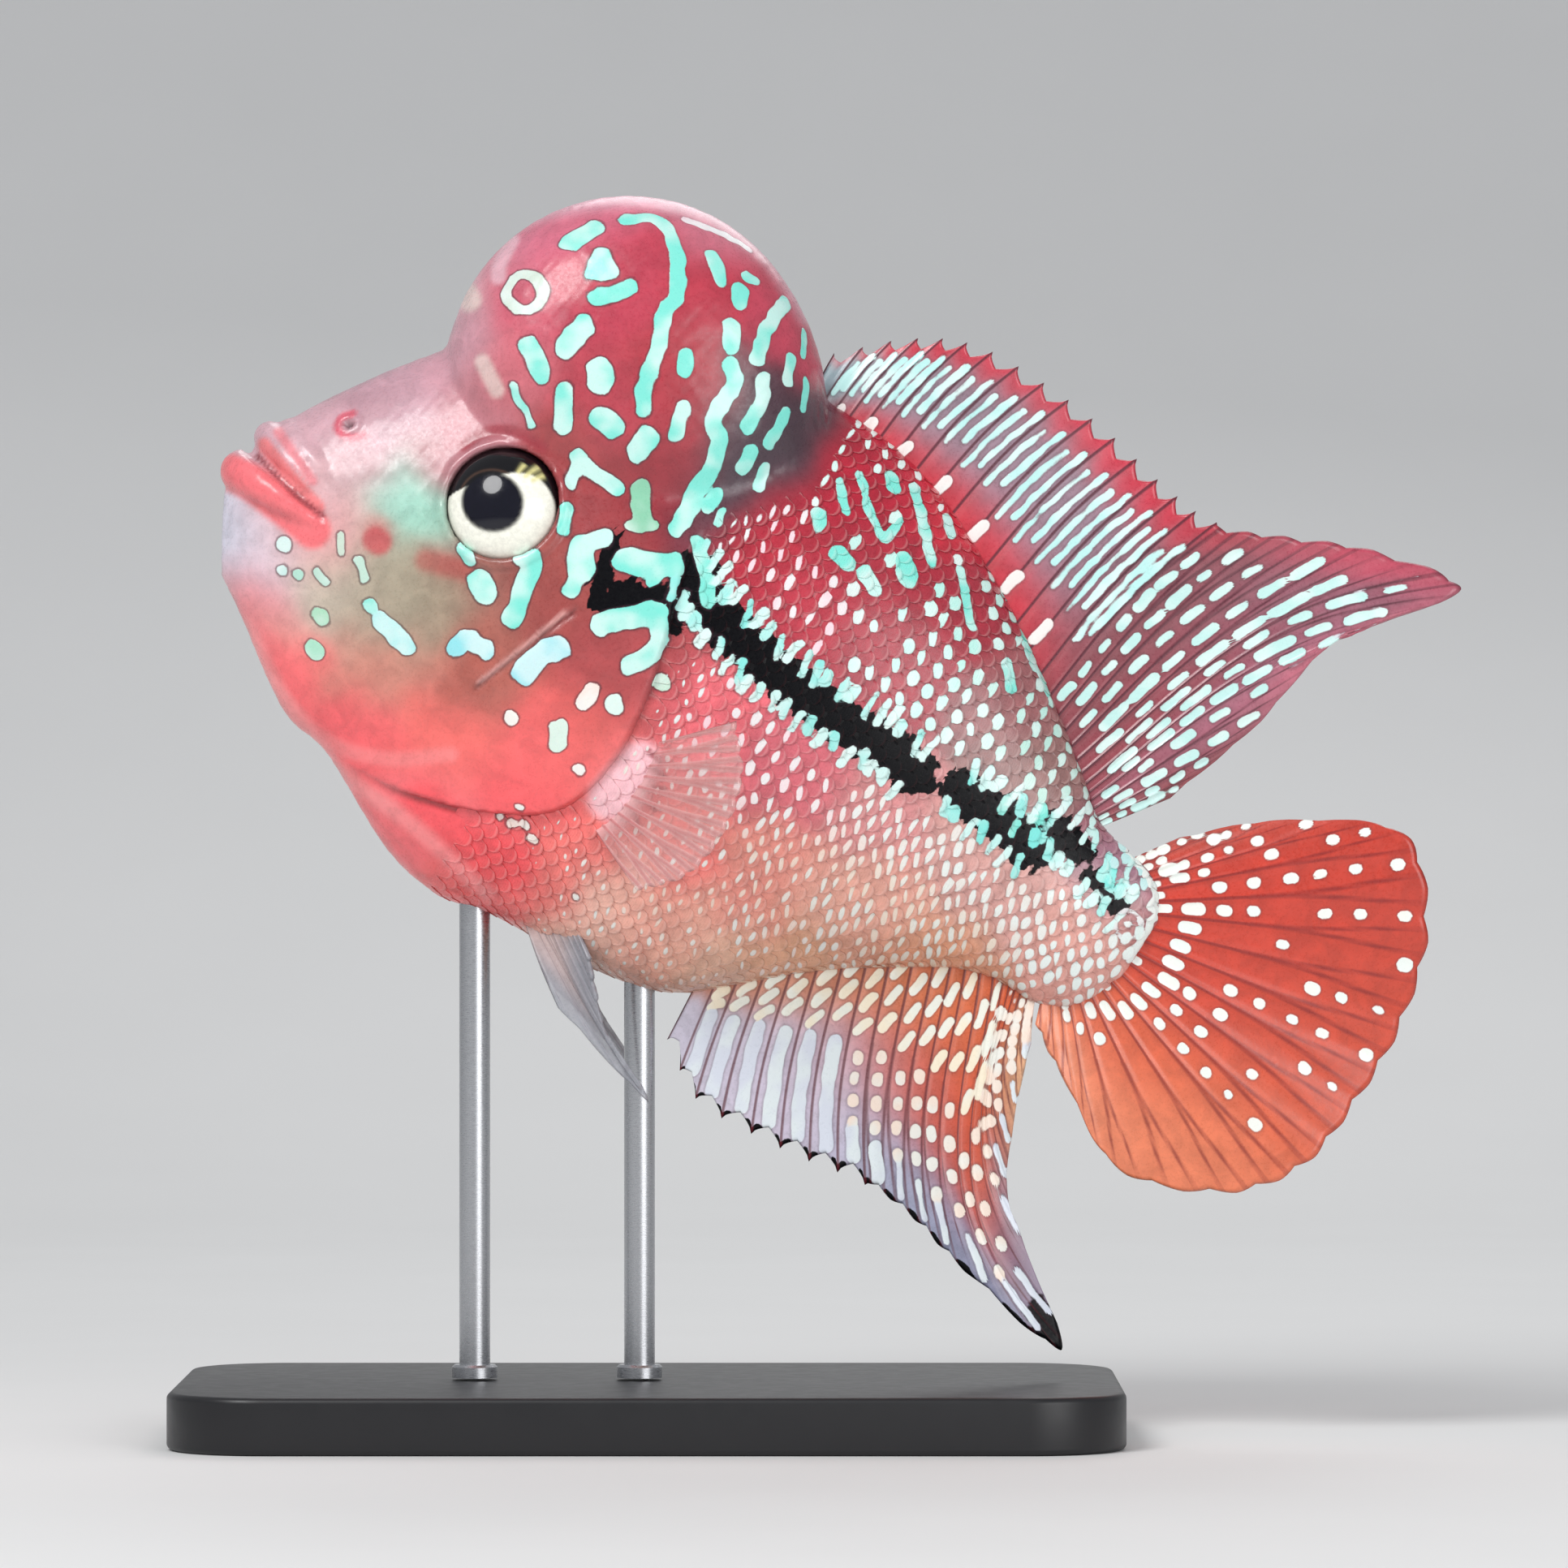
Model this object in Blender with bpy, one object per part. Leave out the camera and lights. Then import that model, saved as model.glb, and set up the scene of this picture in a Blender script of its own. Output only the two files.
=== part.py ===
"""A flowerhorn cichlid as a still, life-size model on a plain display stand.

The fish is laid out in its own frame, in millimetres: u runs from the mouth to the tail, v from the
belly to the back, and w out to the fish's right. The body line is then pitched head up and set over
the stand. Blender gets metres, +Z up, with the head towards -X and the fish's left side towards -Y.
The origin is the centre of the underside of the base.
"""

import math

import bmesh
import bpy
import numpy as np
from mathutils import Matrix, Vector
from mathutils.bvhtree import BVHTree

MM = 0.001

# Stance of the body line
PITCH = math.radians(30.0)
MOUTH_X = -53.0
MOUTH_Z = 117.0

# Gap that touching pieces keep
GAP = 0.3

LEFT = -1
RIGHT = 1
SIDES = {"left": LEFT, "right": RIGHT}

# Stations of head and trunk: back (u, v), belly (u, v), half width, height of the widest point from
# belly to back (0 to 1), and how pointed the back and the belly are in section (1 is an ellipse).
# They lean back with the face and stand square to the body line at the tail stem.
STATIONS = (
    ((0.9, -0.2), (5.7, -9.2), 3.0, 0.55, 0.80, 0.80),
    ((1.2, 3.9), (10.3, -12.4), 5.5, 0.60, 0.85, 0.85),
    ((3.0, 10.6), (20.7, -19.9), 8.0, 0.62, 0.90, 0.90),
    ((6.2, 16.1), (28.0, -21.8), 9.9, 0.62, 0.95, 0.90),
    ((10.7, 22.5), (40.0, -28.2), 12.0, 0.59, 0.95, 0.90),
    ((14.9, 27.7), (48.1, -30.0), 13.6, 0.56, 1.00, 0.90),
    ((19.2, 32.6), (54.7, -28.8), 14.8, 0.54, 1.05, 0.88),
    ((24.7, 37.1), (62.4, -28.5), 15.8, 0.53, 1.10, 0.86),
    ((31.8, 41.0), (71.4, -28.1), 16.4, 0.52, 1.20, 0.85),
    ((39.3, 43.9), (79.3, -26.1), 16.4, 0.51, 1.30, 0.88),
    ((47.9, 46.1), (85.6, -21.3), 15.7, 0.51, 1.35, 0.95),
    ((57.8, 46.6), (91.4, -16.4), 14.4, 0.51, 1.35, 1.00),
    ((67.6, 46.2), (96.8, -12.6), 12.8, 0.51, 1.30, 1.00),
    ((76.9, 43.8), (101.9, -9.4), 11.0, 0.50, 1.25, 1.00),
    ((86.6, 38.9), (106.2, -7.0), 9.3, 0.50, 1.15, 1.00),
    ((95.2, 33.6), (109.6, -5.4), 7.8, 0.49, 1.10, 1.00),
    ((103.1, 27.8), (112.6, -4.7), 6.5, 0.48, 1.05, 1.00),
    ((109.8, 22.4), (115.0, -4.6), 5.5, 0.48, 1.00, 1.00),
    ((114.7, 18.4), (117.4, -4.8), 4.7, 0.48, 1.00, 1.00),
    ((119.6, 17.1), (119.8, -4.4), 3.8, 0.48, 1.00, 1.00),
    ((124.0, 15.6), (123.6, -2.1), 2.3, 0.48, 1.00, 1.00),
    ((127.0, 12.2), (126.6, 3.4), 0.8, 0.50, 1.00, 1.00),
)
FACE_STATIONS = 11
FACE_RINGS_PER_STATION = 3
TRUNK_RINGS_PER_STATION = 2
RING_POINTS = 36
FLANK_SAMPLES = 61

# Nuchal hump: a ball over forehead and nape that leans out over the nape and melts into the face
HUMP_CENTRE = (37.2, 36.6)
HUMP_RADIUS = 22.7
HUMP_HALF_WIDTH = 15.8
HUMP_FULLNESS = 2.4
HUMP_OVERHANG = 3.6
HUMP_OVERHANG_WAY = Vector((0.93, -0.37))
HUMP_BLEND_FACE = 5.0
HUMP_BLEND_NAPE = 0.4
HUMP_BLEND_FROM = 36.0
HUMP_BLEND_TO = 50.0
HUMP_GRAZE = 7.0

# Gill covers stand this much proud of the trunk behind them
COVER_LIFT = 0.9
COVER_START = 26.0
COVER_FULL = 50.0

# Eyes, set into the skin
EYE_CENTRE = (31.9, 15.6)
EYE_RADIUS = 7.1
EYE_BULGE = 3.9
EYE_SINK = 1.5
LID_RADIUS = 7.6
LID_TUBE = 1.1
LID_SINK = 0.35
EYE_SEGMENTS = 20

# Nostrils
NOSTRIL_CENTRE = (10.4, 14.6)
NOSTRIL_RADIUS = 1.1
NOSTRIL_RIM = 0.45
NOSTRIL_PIT = (0.75, 1.3)

# Lips: half loops seen from above, from the corner of the mouth round the front and back. Each has
# its front (u, v), height at the corner, radii at front and corner, and half width.
MOUTH_CORNER_U = 12.4
LIP_STEPS = 16
LIP_SIDES = 8
LIPS = {
    "lip fold": ((4.4, 10.2), 7.4, (1.9, 1.3), 8.0),
    "upper lip": ((2.5, 8.4), 5.4, (2.1, 1.2), 8.3),
    "lower lip": ((1.6, 3.1), 2.4, (2.8, 1.4), 8.5),
}

# Where the body is parted, as outlines seen from the left side
HUMP_OUTLINE = (
    (8.0, 30.0), (14.6, 28.4), (22.0, 27.0), (34.0, 26.0), (46.0, 25.6), (54.0, 26.6), (59.6, 31.0),
    (61.6, 36.5), (60.4, 42.5), (57.4, 47.2), (58.4, 62.0), (30.0, 70.0), (4.0, 60.0),
)
GILL_EDGE = (
    (56.0, 38.0), (54.4, 27.0), (55.2, 19.4), (57.4, 11.1), (58.9, 4.0), (59.3, -4.6), (56.6, -13.0),
    (49.0, -17.9), (38.6, -20.9), (31.4, -21.9), (28.6, -26.0),
)
HEAD_FRONT = ((10.0, -34.0), (-12.0, -10.0), (-12.0, 40.0), (20.0, 60.0), (50.0, 60.0))
COVER_FRONT = (
    (33.6, -17.6), (36.8, -11.4), (40.6, -5.2), (43.6, 1.2), (46.0, 8.4), (47.2, 15.0), (48.6, 21.5),
)
COVER_TOP = ((51.6, 24.2), (55.2, 21.0))
COVER_FLOOR = 6.5
JAW_OUTLINE = (
    (-8.0, 7.4), (3.2, 6.2), (6.4, 5.0), (9.9, 4.1), (13.4, 3.6), (15.6, 1.0), (16.6, -5.0),
    (14.6, -11.0), (11.2, -14.6), (8.0, -22.0), (-10.0, -12.0),
)
TAIL_OUTLINE = (
    (104.6, 32.0), (103.0, 20.0), (102.6, 9.0), (103.6, -2.0), (105.6, -14.0), (134.0, -14.0), (134.0, 32.0),
)

# Fins as guide rays: root, tip, and how far the middle bows forward as a part of the length. Rays
# between the guides follow a smooth curve through them.
DORSAL_GUIDES = (
    ((57.8, 44.4, 0.0), (57.4, 51.4, 0.0), 0.02),
    ((62.0, 43.4, 0.0), (64.4, 57.6, 0.0), 0.03),
    ((68.0, 42.8, 0.0), (71.8, 61.0, 0.0), 0.04),
    ((76.0, 40.6, 0.0), (81.4, 61.2, 0.0), 0.04),
    ((85.0, 36.2, 0.0), (91.2, 60.0, 0.0), 0.04),
    ((94.0, 30.8, 0.0), (100.6, 57.7, 0.0), 0.04),
    ((101.0, 26.0, 0.0), (108.4, 56.9, 0.0), 0.04),
    ((104.6, 23.0, 0.0), (116.6, 60.0, 0.0), 0.05),
    ((107.4, 20.8, 0.0), (126.8, 64.0, 0.0), 0.05),
    ((109.6, 19.0, 0.0), (138.6, 65.2, 0.0), 0.10),
    ((111.2, 17.6, 0.0), (128.7, 52.3, 0.0), 0.035),
    ((112.4, 16.4, 0.0), (125.4, 39.0, 0.0), -0.01),
    ((113.2, 15.6, 0.0), (120.4, 25.0, 0.0), 0.0),
)
DORSAL_SPINES = 17
DORSAL_SOFT_RAYS = 13
DORSAL_SOFT_START = 6
ANAL_GUIDES = (
    ((81.4, -22.6, 0.0), (81.8, -30.6, 0.0), 0.0),
    ((85.4, -18.6, 0.0), (88.4, -35.2, 0.0), -0.02),
    ((90.4, -14.4, 0.0), (96.4, -35.5, 0.0), -0.03),
    ((95.4, -10.6, 0.0), (104.2, -34.9, 0.0), -0.04),
    ((100.2, -7.8, 0.0), (111.6, -34.0, 0.0), -0.045),
    ((105.0, -5.2, 0.0), (119.2, -35.0, 0.0), -0.06),
    ((108.6, -3.8, 0.0), (127.7, -37.4, 0.0), -0.083),
    ((111.8, -2.8, 0.0), (142.8, -39.8, 0.0), -0.154),
    ((114.2, -2.4, 0.0), (128.8, -28.1, 0.0), -0.107),
    ((116.0, -2.2, 0.0), (124.2, -19.5, 0.0), -0.094),
    ((117.6, -2.0, 0.0), (120.4, -8.6, 0.0), 0.0),
)
ANAL_SPINES = 9
ANAL_RAYS = 21
CAUDAL_GUIDES = (
    ((118.6, 14.4, 0.0), (123.8, 21.4, 0.0), 0.0),
    ((120.6, 13.6, 0.0), (134.0, 29.8, 0.0), 0.0),
    ((122.0, 12.6, 0.0), (147.4, 35.8, 0.0), 0.0),
    ((123.0, 11.0, 0.0), (155.8, 27.4, 0.0), 0.0),
    ((123.6, 8.6, 0.0), (159.0, 15.6, 0.0), 0.0),
    ((123.7, 6.2, 0.0), (158.9, 4.4, 0.0), 0.0),
    ((123.3, 3.8, 0.0), (157.0, -5.8, 0.0), 0.0),
    ((122.4, 1.8, 0.0), (150.2, -13.4, 0.0), 0.0),
    ((121.2, 0.2, 0.0), (137.8, -17.2, 0.0), 0.0),
    ((119.8, -0.8, 0.0), (126.6, -11.0, 0.0), 0.0),
    ((118.4, -1.4, 0.0), (120.0, -6.6, 0.0), 0.0),
)
CAUDAL_RAYS = 20
PECTORAL_GUIDES = (
    ((60.4, -2.6, 11.5), (69.6, 6.6, 26.0), 0.0),
    ((61.0, -5.2, 11.5), (73.6, 1.4, 30.2), 0.0),
    ((61.2, -7.8, 11.5), (75.0, -5.4, 31.6), 0.0),
    ((61.0, -10.4, 11.5), (73.8, -12.0, 30.0), 0.0),
    ((60.4, -12.8, 11.5), (69.4, -16.8, 25.6), 0.0),
)
PECTORAL_RAYS = 11
PECTORAL_LOBE_CENTRE = (62.0, -7.8)
PECTORAL_LOBE_RADII = (3.0, 2.4, 5.8)
PECTORAL_LOBE_SINK = 0.8
PELVIC_GUIDES = (
    ((56.6, -25.0, 2.6), (68.0, -34.2, 7.0), -0.02),
    ((57.8, -24.6, 3.2), (83.2, -38.6, 9.8), -0.02),
    ((59.4, -24.0, 3.9), (75.6, -34.6, 9.6), -0.02),
    ((61.0, -23.4, 4.6), (71.4, -30.6, 9.0), 0.0),
    ((62.6, -22.8, 5.2), (68.2, -26.8, 8.4), 0.0),
)
PELVIC_RAYS = 9
PELVIC_REACH = {"left": 1.0, "right": 0.84}
MEMBRANE = 0.56
RIDGE_FOOT = 0.16
SOFT_SPIKE = 0.3
FIN_ROWS = 4

# Stand
BASE_LENGTH = 116.0
BASE_WIDTH = 66.0
BASE_HEIGHT = 7.0
BASE_CORNER = 12.0
BASE_EDGE = 1.0
ROD_RADIUS = 1.9
ROD_SIDES = 20
ROD_TOP = 90.0
ROD_PLACES = {"front": -21.5, "rear": -1.2}


def body_point(u, v, w=0.0):
    """World place, in metres, of a point of the fish's own frame."""
    x = MOUTH_X + u * math.cos(PITCH) + v * math.sin(PITCH)
    z = MOUTH_Z - u * math.sin(PITCH) + v * math.cos(PITCH)
    return Vector((x, w, z)) * MM


def body_matrix(u, v, w):
    """World matrix of a frame at (u, v, w) whose X, Y and Z run along u, w and v."""
    return Matrix.Translation(body_point(u, v, w)) @ Matrix.Rotation(PITCH, 4, "Y")


def smooth_through(values, at):
    """Catmull-Rom value of a row of points at a place counted in points."""
    values = np.asarray(values, float)
    last = len(values) - 1
    start = min(max(int(math.floor(at)), 0), last - 1)
    t = at - start
    before = values[start - 1] if start > 0 else 2 * values[0] - values[1]
    after = values[start + 2] if start + 2 <= last else 2 * values[last] - values[last - 1]
    a, b = values[start], values[start + 1]
    return 0.5 * (
        2 * a
        + (b - before) * t
        + (2 * before - 5 * a + 4 * b - after) * t * t
        + (3 * a - before - 3 * b + after) * t**3
    )


def eased(value, low, high):
    """Smooth step from 0 at low to 1 at high."""
    t = min(max((value - low) / (high - low), 0.0), 1.0)
    return t * t * (3 - 2 * t)


def finish(name, colour, roughness, metallic=0.0):
    """A Principled material."""
    material = bpy.data.materials.new(name)
    material.use_nodes = True
    shader = material.node_tree.nodes["Principled BSDF"]
    shader.inputs["Base Color"].default_value = (*colour, 1.0)
    shader.inputs["Roughness"].default_value = roughness
    shader.inputs["Metallic"].default_value = metallic
    material.diffuse_color = (*colour, 1.0)
    return material


def mesh_object(name, bm):
    """A linked object that takes over the bmesh, with its faces turned outwards."""
    bmesh.ops.recalc_face_normals(bm, faces=bm.faces)
    mesh = bpy.data.meshes.new(name)
    bm.to_mesh(mesh)
    bm.free()
    made = bpy.data.objects.new(name, mesh)
    bpy.context.scene.collection.objects.link(made)
    return made


def dress(made, material):
    """Gives an object its material and smooth shading."""
    made.data.materials.clear()
    made.data.materials.append(material)
    made.data.shade_smooth()
    made.data.set_sharp_from_angle(angle=math.radians(40))
    return made


def combine(base, others, operation):
    """Applies one Boolean of base with a collection of the others, which are then removed."""
    helpers = bpy.data.collections.new("helpers")
    for other in others:
        helpers.objects.link(other)
    modifier = base.modifiers.new("combine", "BOOLEAN")
    modifier.operation = operation
    modifier.solver = "MANIFOLD"
    modifier.operand_type = "COLLECTION"
    modifier.collection = helpers
    graph = bpy.context.evaluated_depsgraph_get()
    result = bpy.data.meshes.new_from_object(base.evaluated_get(graph))
    base.modifiers.clear()
    base.data = result
    for other in others:
        bpy.data.objects.remove(other)
    bpy.data.collections.remove(helpers)
    return base


def copy_of(made, name):
    """A second object with its own copy of the mesh."""
    twin = bpy.data.objects.new(name, made.data.copy())
    bpy.context.scene.collection.objects.link(twin)
    return twin


def keep_largest(made):
    """Leaves only the closed surface with the most volume."""
    bm = bmesh.new()
    bm.from_mesh(made.data)
    bmesh.ops.remove_doubles(bm, verts=bm.verts, dist=1e-7)
    bmesh.ops.triangulate(bm, faces=bm.faces)
    left = set(bm.faces)
    groups = []
    while left:
        todo = [left.pop()]
        group = set(todo)
        while todo:
            for edge in todo.pop().edges:
                for face in edge.link_faces:
                    if face in left:
                        left.discard(face)
                        group.add(face)
                        todo.append(face)
        volume = sum(f.verts[0].co.dot(f.verts[1].co.cross(f.verts[2].co)) for f in group)
        groups.append((volume, group))
    groups.sort(key=lambda pair: pair[0])
    for _, group in groups[:-1]:
        bmesh.ops.delete(bm, geom=list(group), context="FACES")
    bm.to_mesh(made.data)
    bm.free()
    return made


def in_hump(u, v, w):
    """Whether a point lies in the ball of the hump."""
    arm = Vector((u - HUMP_CENTRE[0], v - HUMP_CENTRE[1]))
    lean = max(0.0, arm.normalized().dot(HUMP_OVERHANG_WAY))
    radius = HUMP_RADIUS + HUMP_OVERHANG * lean**2
    return (arm.length / radius) ** HUMP_FULLNESS + (abs(w) / HUMP_HALF_WIDTH) ** HUMP_FULLNESS < 1


def hump_reach(middle, arm, lateral, farthest=3.0, steps=40, halvings=9):
    """How far a ray stays in the hump and how much of it lies there, as parts of its length."""

    def inside(part):
        return in_hump(middle.x + arm.x * part, middle.y + arm.y * part, lateral * part)

    parts = [farthest * step / steps for step in range(1, steps + 1)]
    held = [part for part in parts if inside(part)]
    if not held:
        return 0.0, 0.0
    near = held[-1]
    far = near + farthest / steps
    for _ in range(halvings):
        half = (near + far) / 2
        if inside(half):
            near = half
        else:
            far = half
    return near, len(held) * farthest / steps


def blended_larger(a, b, width):
    """The larger of two lengths, with a fillet of a given width where they cross."""
    mix = min(max(0.5 + 0.5 * (a - b) / width, 0.0), 1.0)
    return b + (a - b) * mix + width * mix * (1 - mix) / 2


def evenly_spaced(points, count):
    """A count of points at even steps along a row of points."""
    row = np.array(points)
    run = np.concatenate([[0.0], np.cumsum(np.linalg.norm(np.diff(row, axis=0), axis=1))])
    wanted = np.linspace(0.0, run[-1], count)
    return np.stack([np.interp(wanted, run, row[:, axis]) for axis in range(row.shape[1])], axis=1)


def section(at, lift, swell):
    """Ring of points of head and trunk at a place counted in stations."""
    rows = [(*back, *belly, wide, height, top, low) for back, belly, wide, height, top, low in STATIONS]
    back_u, back_v, belly_u, belly_v, wide, height, top, low = smooth_through(rows, at)
    back = Vector((back_u, back_v))
    belly = Vector((belly_u, belly_v))
    middle = belly.lerp(back, height)
    flank = []
    for angle in np.linspace(-math.pi / 2, math.pi / 2, FLANK_SAMPLES):
        rise = math.sin(angle)
        out = max(math.cos(angle), 0.0)
        arm = ((back if rise > 0 else belly) - middle) * abs(rise)
        cover = lift * eased((middle + arm).x, COVER_START, COVER_FULL) * out
        lateral = out ** (top if rise > 0 else low) * wide + cover
        length = math.hypot(arm.length, lateral)
        reach, held = hump_reach(middle, arm, lateral)
        front = eased((middle + arm * 1.2).x, HUMP_BLEND_FROM, HUMP_BLEND_TO)
        width = HUMP_BLEND_FACE + (HUMP_BLEND_NAPE - HUMP_BLEND_FACE) * front
        part_held = eased(held * length, 0.0, HUMP_GRAZE)
        grown = length + (blended_larger(length, reach * length, width) - length) * part_held
        part = (grown + swell) / length
        flank.append((middle.x + arm.x * part, middle.y + arm.y * part, lateral * part))
    even = evenly_spaced(flank, RING_POINTS // 2 + 1)
    right = [body_point(*spot) for spot in even]
    left = [body_point(u, v, -w) for u, v, w in even[-2:0:-1]]
    return right + left


def closed_loft(name, rings):
    """Closed skin through rings with the same number of points."""
    bm = bmesh.new()
    loops = [[bm.verts.new(point) for point in ring] for ring in rings]
    count = len(rings[0])
    for first, second in zip(loops, loops[1:]):
        for step in range(count):
            after = (step + 1) % count
            bm.faces.new((first[step], first[after], second[after], second[step]))
    bm.faces.new(loops[0][::-1])
    bm.faces.new(loops[-1])
    ends = [face for face in bm.faces if len(face.verts) > 4]
    bmesh.ops.poke(bm, faces=ends)
    bmesh.ops.triangulate(bm, faces=bm.faces)
    return mesh_object(name, bm)


def trunk(name, lift=0.0, swell=0.0):
    """Head and body with the hump, from the snout to the end of the tail stem."""
    face = np.linspace(0, FACE_STATIONS, FACE_STATIONS * FACE_RINGS_PER_STATION + 1)
    rest = len(STATIONS) - 1 - FACE_STATIONS
    back = np.linspace(FACE_STATIONS, len(STATIONS) - 1, rest * TRUNK_RINGS_PER_STATION + 1)
    return closed_loft(name, [section(place, lift, swell) for place in (*face, *back[1:])])


def ball(name, matrix, radii, meridians, bands):
    """Ellipsoid with its poles on the matrix's Y axis."""
    bm = bmesh.new()
    scale = Matrix.Diagonal((radii[0] * MM, radii[1] * MM, radii[2] * MM, 1.0))
    turn = Matrix.Rotation(math.pi / 2, 4, "X")
    bmesh.ops.create_uvsphere(
        bm, u_segments=meridians, v_segments=bands, radius=1.0, matrix=matrix @ scale @ turn
    )
    return mesh_object(name, bm)


def torus(name, matrix, radius, tube, segments, sides, squash=1.0):
    """Ring round the matrix's Y axis, its tube squashed along that axis."""
    bm = bmesh.new()
    start = Matrix.Translation((radius * MM, 0.0, 0.0)) @ Matrix.Diagonal((1.0, squash, 1.0, 1.0))
    made = bmesh.ops.create_circle(bm, segments=sides, radius=tube * MM, matrix=start)
    bmesh.ops.spin(
        bm, geom=made["verts"] + list(bm.edges), cent=(0, 0, 0), axis=(0, 1, 0), angle=2 * math.pi,
        steps=segments, use_merge=True,
    )
    bmesh.ops.transform(bm, matrix=matrix, verts=bm.verts)
    return mesh_object(name, bm)


def prism(name, outline, low, high, grow=0.0):
    """Block with a side-view outline between two distances from the midline."""
    points = [Vector(point) for point in outline]
    area = sum(a.x * b.y - b.x * a.y for a, b in zip(points, points[1:] + points[:1]))
    turn = 1.0 if area > 0 else -1.0
    moved = []
    for before, here, after in zip(points[-1:] + points[:-1], points, points[1:] + points[:1]):
        first = (here - before).normalized()
        second = (after - here).normalized()
        normal = Vector((first.y + second.y, -first.x - second.x)).normalized() * turn
        half = max(0.4, math.sqrt((1 + first.dot(second)) / 2))
        moved.append(here + normal * grow / half)
    bm = bmesh.new()
    face = bm.faces.new([bm.verts.new(body_point(point.x, point.y, low)) for point in moved])
    made = bmesh.ops.extrude_face_region(bm, geom=[face])
    verts = [item for item in made["geom"] if isinstance(item, bmesh.types.BMVert)]
    bmesh.ops.translate(bm, verts=verts, vec=Vector((0.0, (high - low) * MM, 0.0)))
    bmesh.ops.triangulate(bm, faces=bm.faces)
    return mesh_object(name, bm)


def lip(name, front, corner_v, radii, half_width):
    """Fleshy lip: a tapered tube from one corner of the mouth round the front to the other."""
    rings = []
    depth = MOUTH_CORNER_U - front[0]
    for step in range(LIP_STEPS + 1):
        angle = math.pi * step / LIP_STEPS - math.pi / 2
        near = math.cos(angle)
        u = MOUTH_CORNER_U - depth * near
        v = corner_v + (front[1] - corner_v) * near
        w = half_width * math.sin(angle)
        radius = radii[1] + (radii[0] - radii[1]) * near
        out = Vector((-half_width * near, depth * math.sin(angle))).normalized()
        ring = []
        for side in range(LIP_SIDES):
            turn = 2 * math.pi * side / LIP_SIDES
            reach = radius * math.cos(turn)
            ring.append(body_point(u + out.x * reach, v + radius * math.sin(turn), w + out.y * reach))
        rings.append(ring)
    return closed_loft(name, rings)


def skin_tree(made):
    """Search tree of an object's surface."""
    bm = bmesh.new()
    bm.from_mesh(made.data)
    tree = BVHTree.FromBMesh(bm)
    bm.free()
    return tree


def skin_width(tree, u, v):
    """Half width of the body at a place in the side view."""
    far = body_point(u, v, 80.0)
    hit = tree.ray_cast(far, Vector((0.0, -1.0, 0.0)))[0]
    return hit.y / MM


def skin_frame(tree, u, v, side, sink, span=3.0):
    """Frame on the skin, sunk by a distance, with Y square to the skin and out of the body."""
    slope_u = (skin_width(tree, u + span, v) - skin_width(tree, u - span, v)) / (2 * span)
    slope_v = (skin_width(tree, u, v + span) - skin_width(tree, u, v - span)) / (2 * span)
    normal = Vector((-slope_u, side, -slope_v)).normalized()
    turn = Vector((0.0, side, 0.0)).rotation_difference(normal).to_matrix().to_4x4()
    flip = Matrix.Rotation(math.pi, 4, "X") if side == LEFT else Matrix()
    base = body_matrix(u, v, side * skin_width(tree, u, v))
    return base @ turn @ flip @ Matrix.Translation((0.0, -sink * MM, 0.0))


def eye_ball(name, tree, side, swell=0.0):
    """Flattened eyeball set into the skin."""
    radii = (EYE_RADIUS + swell, EYE_BULGE + swell, EYE_RADIUS + swell)
    frame = skin_frame(tree, *EYE_CENTRE, side, EYE_SINK, span=5.0)
    return ball(name, frame, radii, EYE_SEGMENTS, EYE_SEGMENTS // 2)


def whole_head(tree):
    """Head with hump, lips, lids and rims of the nostrils, before it is parted."""
    head = trunk("head", lift=COVER_LIFT)
    extras = [lip(name, *sizes) for name, sizes in LIPS.items()]
    for side in SIDES.values():
        lid = skin_frame(tree, *EYE_CENTRE, side, LID_SINK, span=5.0)
        extras.append(torus("lid", lid, LID_RADIUS, LID_TUBE, EYE_SEGMENTS, 7))
        rim = skin_frame(tree, *NOSTRIL_CENTRE, side, 0.1)
        extras.append(torus("rim", rim, NOSTRIL_RADIUS, NOSTRIL_RIM, 10, 6))
    return combine(head, extras, "UNION")


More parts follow.
